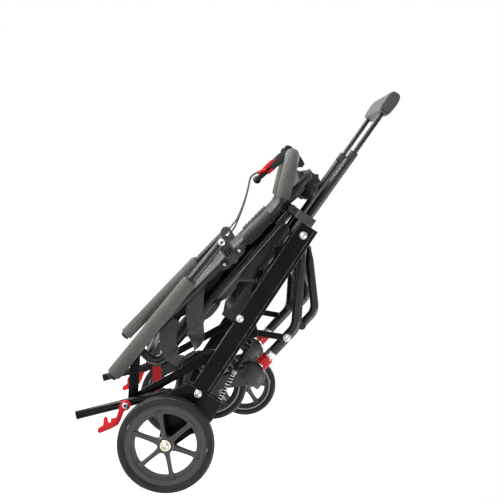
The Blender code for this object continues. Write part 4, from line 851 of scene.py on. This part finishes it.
shape = bow((along(POST_TOP, POST_ANGLE, -12), PUSH_BEND, PUSH_TOP), POST_LANE, 46, 20, 40)
for side in SIDES.values():
    post = [at(uv, side * POST_LANE) for uv in (along(BACK_HINGE, POST_ANGLE, -8), POST_TOP)]
    sweep(shape, post, POST_R, 40)
    lathe(shape, drum(0, 51, 4), at(BACK_HINGE, side * 178.6), (0, side, 0), 24)
piece("back_tubes", shape, "back", TUBE, "back_frame")
bolts("back_bolts", "back", [(BACK_HINGE, side * 178.3, -side, 6.9, 0) for side in SIDES.values()]
      + [(BACK_HINGE, side * 228.8, side, 6.0, 0) for side in SIDES.values()])

_, push_angle = span(PUSH_BEND, PUSH_TOP)
for word, side in SIDES.items():
    corners = [at(along(PUSH_BEND, push_angle, 10), side * POST_LANE),
               at(PUSH_TOP, side * POST_LANE), at(PUSH_TOP, side * (LEVER_LANE + 26))]
    shape = sweep(bmesh.new(), rounded(corners, 46, 24), FOAM_R, 48, 3.0)
    sleeve = piece("push_sleeve_" + word, shape, "back", FOAM, "push_foam_" + word)


# armrests

for word, side in SIDES.items():
    softened("arm_plate_" + word, "armrest_bracket_" + word, "back", GREY, 0.8)
    y, turn, on = side * ARM_LANE, ARM_ANGLES[word], "armrest_" + word
    bolts("arm_bolt_" + word, "back", [(ARM_PIVOT, side * 257.6, side, 7.4, 0)])
    shape, bright = bmesh.new(), bmesh.new()
    for spot in ARM_KNOBS:
        lathe(shape, [(0, 0), (8.6, 0), (8.6, 1.6), (7.8, 2.6), (5.2, 3.4), (0, 3.4)],
              at(spot, side * 236.6), (0, side, 0), 36)
        head(bright, spot, side * 239.8, side, 3.0, 1.8)
    piece("arm_knobs_" + word, shape, "back", SATIN)
    piece("arm_screws_" + word, bright, "back", STEEL)
    shape = sweep(bmesh.new(), [at(along(ARM_PIVOT, turn, reach), y)
                                for reach in (-8, SLEEVE_END + 7)], TUBE_R, 40)
    piece("arm_" + word, shape, on, TUBE, "armrest_tube_" + word)
    sleeve = turned("arm_sleeve_" + word, [
        (9.3, SLEEVE_START), (12.6, SLEEVE_START), (14.6, SLEEVE_START + 1.2),
        (15.6, SLEEVE_START + 4), (15.6, SLEEVE_END - 4), (14.6, SLEEVE_END - 1.2),
        (12.6, SLEEVE_END), (9.3, SLEEVE_END)], at(ARM_PIVOT, y), direction(turn), 56,
        on, FOAM, "armrest_foam_" + word)
    shape = bmesh.new()
    for place, wide in ((SLEEVE_START - 2.5, 12.4), (SLEEVE_END + 3.4, 11.0)):
        lathe(shape, [(9.1, place - 2.2), (wide - 0.6, place - 2.2), (wide, place - 1.6),
                      (wide, place + 1.6), (wide - 0.6, place + 2.2), (9.1, place + 2.2)],
              at(ARM_PIVOT, y), direction(turn), 48)
    piece("arm_end_" + word, shape, on, SATIN)


# brake levers and cables

CABLE_ROUTE = [
    (581, 126, 146), (573, 126, 152), (563, 130, 157), (552, 138, 156), (537, 150, 150),
    (514, 168, 142), (490, 186, 135.5), (468, 200, 131), (449, 212, 128.5), (427.5, 228, 131.5),
]
for word, side in SIDES.items():
    softened("lever_clamp_" + word, "lever_housing_" + word, "back", SATIN, 0.9)
    on = "brake_lever_" + word
    shape = prism(bmesh.new(), slot_outline(LEVER_PIVOT, LEVER_TIP, 9, 5),
                  side * (LEVER_LANE - 12), side * LEVER_LANE, 2.6, 4)
    ball = [(8.5 * math.sin(math.radians(a)), -8.5 * math.cos(math.radians(a)))
            for a in range(0, 181, 12)]
    lathe(shape, ball, at(LEVER_TIP, side * (LEVER_LANE - 6)), (0, 1, 0), 32)
    piece("lever_blade_" + word, shape, on, SATIN, on)
    bolts("lever_bolt_" + word, "back", [(LEVER_PIVOT, side * (LEVER_LANE - 12.6), -side, 6.8, 0)])
    path = smooth_path([(u, side * y, v) for u, y, v in CABLE_ROUTE], 6)
    sleeve = piece("cable_" + word, sweep(bmesh.new(), path, 1.8, 16, 0.4), "back", CABLE,
                   "brake_cable_" + word)
    points = [PLACE @ p for p in path]
    turned("adjuster_" + word, [
        (1.9, -7), (3.4, -7), (3.6, -6.2), (3.6, 3.5), (4.6, 4), (4.6, 10.5), (4.0, 11.5),
        (1.9, 11.5)], path[0], (path[0] - path[3]).normalized(), 28, "back", RED)
    shape = bmesh.new()
    for outline in (slot_outline((614, 136.5), (584, 143.5), 4.4, 3.6),
                    slot_outline((606, 126.0), (588, 130.5), 3.2)):
        prism(shape, outline, side * (LEVER_LANE + 0.2), side * (LEVER_LANE + 3.6), 0.9)
    piece("lever_latch_" + word, shape, on, RED)
    turned("ferrule_" + word, [(1.9, -9), (3.0, -9), (3.2, -8.4), (3.2, 1), (1.9, 1)], path[-1],
           (path[-1] - path[-4]).normalized(), 24, "back", STEEL)


# cushions


PRESSURE, FRAMES, SWELL_CAP = 4.0, 20, 0.004
TUCK, CROWN, WRINKLE = 0.03, 0.25, 0.9
STITCH, STITCH_PITCH, THREAD_R = 3.4, 5.4, 0.4


def inflated(made, pinned):
    """Blows a closed cloth piece up by Cloth, each point moving by SWELL_CAP metres at most."""
    group = made.vertex_groups.new(name="sewn")
    group.add(pinned, 1.0, "ADD")
    before = [v.co.copy() for v in made.data.vertices]
    cloth = made.modifiers.new("cloth", "CLOTH")
    fabric = cloth.settings
    fabric.vertex_group_mass = "sewn"
    fabric.mass = 0.2
    fabric.tension_stiffness = fabric.compression_stiffness = 20
    fabric.shear_stiffness = 10
    fabric.bending_stiffness = 0.3
    fabric.use_pressure = True
    fabric.uniform_pressure_force = PRESSURE
    fabric.effector_weights.gravity = 0
    cloth.collision_settings.use_collision = False
    cloth.point_cache.frame_start, cloth.point_cache.frame_end = 1, FRAMES
    scene = bpy.context.scene
    for number in range(1, FRAMES + 1):
        scene.frame_set(number)
    graph = bpy.context.evaluated_depsgraph_get()
    seen = made.evaluated_get(graph).to_mesh()
    after = [v.co.copy() for v in seen.vertices]
    made.evaluated_get(graph).to_mesh_clear()
    made.modifiers.remove(cloth)
    made.vertex_groups.remove(group)
    for vertex, old, new in zip(made.data.vertices, before, after):
        move = new - old
        if move.length > SWELL_CAP:
            move *= SWELL_CAP / move.length
        vertex.co = old + move
    scene.frame_set(1)
    made.data.update()


def quilted(name, low_end, high_end, half_width, thickness, channels, on, replaces, belly):
    """A quilted pad between two (u, v) ends: sewn cross channels, a piped edge and a soft swell.

    belly(u) is how far its lower side hangs down.
    """
    length, angle = span(low_end, high_end)
    run, lift = direction(angle), direction(angle + 90)
    nu, ny = 70, 36
    shape, sheets = bmesh.new(), []
    for face in (1, -1):
        rows = []
        for i in range(nu + 1):
            s, row = i / nu, []
            groove = abs(math.sin(math.pi * channels * s)) ** 0.5
            for j in range(ny + 1):
                t = 2 * j / ny - 1
                rim = min(1.0, 8 * s, 8 * (1 - s)) * min(1.0, 7 * (1 - abs(t)))
                swell = (0.12 + 0.88 * math.sqrt(max(rim, 0))) * (0.55 + 0.45 * groove)
                swell *= 1 + CROWN * (1 - t * t)
                ripple = WRINKLE * (math.sin(31 * t + 9 * s) * math.sin(17 * s + 2)
                                    + 0.6 * math.sin(53 * t - 21 * s)) * groove * min(1, rim)
                half = half_width * (1 - TUCK * math.sin(math.pi * s))
                spot = (at(low_end, half * t) + run * (length * s)
                        + lift * face * (thickness / 2 * swell / (1 + CROWN) + 0.35 * ripple))
                if face < 0:
                    spot -= lift * (belly(spot.x) * min(1, 12 * (1 - abs(t))) ** 0.5
                                    * (0.85 + 0.15 * groove))
                row.append(shape.verts.new(spot))
            rows.append(row)
        sheets.append(rows)
    for rows in sheets:
        for a, b in zip(rows, rows[1:]):
            for j in range(ny):
                shape.faces.new((a[j], a[j + 1], b[j + 1], b[j]))
    over, under = sheets
    border = ([(0, j) for j in range(ny + 1)] + [(i, ny) for i in range(1, nu + 1)]
              + [(nu, j) for j in range(ny - 1, -1, -1)] + [(i, 0) for i in range(nu - 1, 0, -1)])
    for (i, j), (k, m) in zip(border, border[1:] + border[:1]):
        shape.faces.new((over[i][j], over[k][m], under[k][m], under[i][j]))
    shape.verts.index_update()
    seams = {round(nu * c / channels) for c in range(1, channels)}
    edge = set(border)
    sewn = [v.index for rows in sheets for i, row in enumerate(rows) for j, v in enumerate(row)
            if i in seams or (i, j) in edge]
    rim_path = [(over[i][j].co + under[i][j].co) / 2 for i, j in border]
    lines = [[rows[i][j].co.copy() for j in range(1, ny)] for rows in sheets for i in seams]
    for rows in sheets:
        lines += [[rows[i][j].co.copy() for i in range(1, nu)] for j in (2, ny - 2)]
    made = piece(name, shape, on, NYLON, replaces, 0)
    inflated(made, sewn)
    smooth = made.modifiers.new("smooth", "SUBSURF")
    smooth.levels = smooth.render_levels = 1
    worked_in(made)
    piping = sweep(bmesh.new(), rim_path + rim_path[:2], 1.5, 12, 0.0)
    piece(name + "_piping", piping, on, WEBBING)
    stitched(name + "_stitches", made, lines, on)


def stitched(name, made, lines, on):
    """Sewing thread laid along lines of points on a piece's surface."""
    mesh, back = made.data, PLACE.inverted()
    tree = BVHTree.FromPolygons([v.co for v in mesh.vertices], [p.vertices for p in mesh.polygons])
    shape = bmesh.new()

    def settled(place):
        spot, normal, _, _ = tree.find_nearest(PLACE @ place)
        return back @ (spot + normal * (0.55 * THREAD_R * MM))

    for line in lines:
        walked = 0.0
        for a, b in zip(line, line[1:]):
            step = (b - a).length
            while walked < step - 1e-6:
                first = a.lerp(b, walked / step)
                last = first + (b - a) * (STITCH / step)
                sweep(shape, [settled(first), settled(last)], THREAD_R, 6, 0.0)
                walked += STITCH_PITCH
            walked -= step
    piece(name, shape, on, THREAD, angle=0)


def gathered(name, spine, profile, pleats, taper=0.05, channels=0, steps=14, axes=None):
    """The back's cloth round a spine: a closed profile carried along it, in wandering pleats."""
    path = smooth_path(spine, steps)
    shape, rings, side = bmesh.new(), [], None
    for i, place in enumerate(path):
        s = i / (len(path) - 1)
        run = (path[min(i + 1, len(path) - 1)] - path[max(i - 1, 0)]).normalized()
        if axes:
            side, other = axes
        else:
            side = (side or run.orthogonal())
            side = (side - run * side.dot(run)).normalized()
            other = run.cross(side)
        close = max(0.3, min(1.0, min(s, 1 - s) / taper) ** 0.5)
        if channels:
            close *= 0.84 + 0.16 * abs(math.sin(math.pi * channels * s)) ** 0.5
        ring = []
        for k, (a, b) in enumerate(profile):
            turn = math.tau * k / len(profile)
            size = close * (1 + sum(depth * math.sin(number * turn + drift * s + phase)
                                    for number, depth, drift, phase in pleats))
            ring.append(shape.verts.new(place + (side * a + other * b) * size))
        rings.append(ring)
    skin(shape, rings)
    piece(name, shape, "back", NYLON, angle=0)


def between(first, second, u):
    return first[1] + (u - first[0]) * (second[1] - first[1]) / (second[0] - first[0])


SEAT_SAG = ((140, 0), (230, 20), (362, 20), (378, 40), (400, 40), (440, 33), (513, 32), (543, 0))


def seat_sag(u):
    """The folded seat's slack cloth hangs between its tubes, clear of the bars below."""
    for first, second in zip(SEAT_SAG, SEAT_SAG[1:]):
        if first[0] <= u <= second[0]:
            return between(first, second, u)
    return 0.0


def back_sag(u):
    """The backrest hangs down as far as the cushion under it leaves room."""
    room = between(BACK_HINGE, POST_TOP, u) - between(SEAT_CORNER, SEAT_PIVOT, u) - 24.0
    return min(20.0, max(0.0, room)) * min(1.0, max(0.0, (u - 165.0) / 40.0))


low = along(along(SEAT_CORNER, SEAT_ANGLE, 26), SEAT_ANGLE + 90, 4)
high = along(along(SEAT_PIVOT, SEAT_ANGLE + 180, 33), SEAT_ANGLE + 90, 4)
quilted("cushion", low, high, SEAT_LANE - 9.3 - 3, 17, 7, "seat", "seat_cushion", seat_sag)
low = along(BACK_HINGE, POST_ANGLE, 40)
high = along(BACK_HINGE, POST_ANGLE, 514)
quilted("backrest", low, high, POST_LANE - 9.3 - 12, 16, 7, "back", "back_pad", back_sag)

BUNCH = [(589, 60), (600, 69), (611, 68), (618, 75), (628, 72), (634, 62), (641, 58), (640, 45),
         (644, 36), (633, 27), (621, 28), (612, 19), (600, 16), (590, 20), (584, 34), (586, 47)]
centre = (612.0, 45.0)
outline = smooth_path([(u - centre[0], 0, v - centre[1]) for u, v in BUNCH + BUNCH[:1]], 5)[:-1]
gathered("bunch", [at(centre, y) for y in (-133, -100, -50, 0, 50, 100, 133)],
         [(p.x, p.z) for p in outline],
         ((5, 0.09, 6, 0.5), (9, 0.05, -8, 1.0), (14, 0.025, 17, 2.0), (2, 0.06, 5, 0.0)),
         axes=(Vector((1, 0, 0)), Vector((0, 0, 1))))
ROUND = [(math.cos(math.tau * k / 36), math.sin(math.tau * k / 36)) for k in range(36)]
SIDE_ROLL = [(447, 192, 94), (470, 191, 86), (520, 190.5, 77), (570, 190, 67), (608, 189, 61),
             (634, 187, 57)]
INNER_ROLL = [(436, 190, 84), (480, 190, 76.5), (530, 186, 68), (575, 180, 58), (604, 168, 52)]
POST_SLEEVE = [along(BACK_HINGE, POST_ANGLE, distance) for distance in (322, 350, 380, 405)]
for word, side in SIDES.items():
    gathered("side_roll_" + word, [(u, side * y, v) for u, y, v in SIDE_ROLL],
             [(8.2 * a, 8.6 * b) for a, b in ROUND],
             ((3, 0.10, 16, 0.0), (7, 0.05, -21, 1.0), (2, 0.06, 9, 0.4)))
    gathered("inner_roll_" + word, [(u, side * y, v) for u, y, v in INNER_ROLL],
             [(5.6 * a, 6.0 * b) for a, b in ROUND], ((3, 0.12, -14, 0.7), (5, 0.06, 17, 0.0)))
    gathered("post_sleeve_" + word, [at(uv, side * POST_LANE) for uv in POST_SLEEVE],
             [(13.2 * a, 13.2 * b) for a, b in ROUND], ((4, 0.02, 5, 0.0), (9, 0.015, -11, 1.0)),
             0.06, 8, 16)


# straps


def strap(name, path, across, width, thick, on, finish, replaces=None):
    """Flat webbing with bound edges along a path, with the way of its width at each point."""
    shape, rings = bmesh.new(), []
    section = [(-0.5, -0.25), (-0.49, -0.5), (-0.44, -0.56), (-0.40, -0.42), (-0.2, -0.42),
               (0.2, -0.42), (0.40, -0.42), (0.44, -0.56), (0.49, -0.5), (0.5, -0.25)]
    section = mirrored(section)
    for i, (place, way) in enumerate(zip(path, across)):
        before, after = path[max(i - 1, 0)], path[min(i + 1, len(path) - 1)]
        run = (after - before).normalized()
        way = (way - run * way.dot(run)).normalized()
        face = run.cross(way).normalized()
        rings.append([shape.verts.new(place + way * (width * a) + face * (thick * b))
                      for a, b in section])
    skin(shape, rings)
    return piece(name, shape, on, finish, replaces, angle=60)


ROUTE = [
    (214, 0, 134, 0), (180, 0, 119, 0), (158, 0, 100, 0), (152, 0, 84, 0), (157, -11, 70, 50),
    (170, -14.5, 60, 90), (186, -14.5, 55, 90), (204, -11, 62, 50), (224, 0, 78, 0),
    (250, 0, 97, 0), (278, 0, 114, 0), (302, 0, 128, 0),
]
path = smooth_path([(u, -199.9 + y, v) for u, y, v, _ in ROUTE], 10)
turns = smooth_path([(turn, 0, 0) for _, _, _, turn in ROUTE], 10)
across = []
for i, turn in enumerate(turns):
    run = (path[min(i + 1, len(path) - 1)] - path[max(i - 1, 0)]).normalized()
    flat = Vector((run.z, 0, -run.x))
    angle = math.radians(turn.x)
    across.append(flat * math.cos(angle) + Vector((0, 1, 0)) * math.sin(angle))
strap("lap_belt", path, across, 37, 2.3, "back", BELT, "lap_strap")
fall, forward = direction(-146.5), direction(-56.5)
start = at(rear, 100) + fall * 8.4
path = [start + fall * (118 * i / 24) for i in range(25)]
strap("pull_tape", path[:14], [forward] * 14, 19, 1.9, "seat", WEBBING)
strap("pull_loop", path[12:], [forward] * 13, 20, 2.5, "seat", RED_WEB, "pull_strap")

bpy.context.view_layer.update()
view = bpy.context.scene.view_settings
view.view_transform = "Standard"
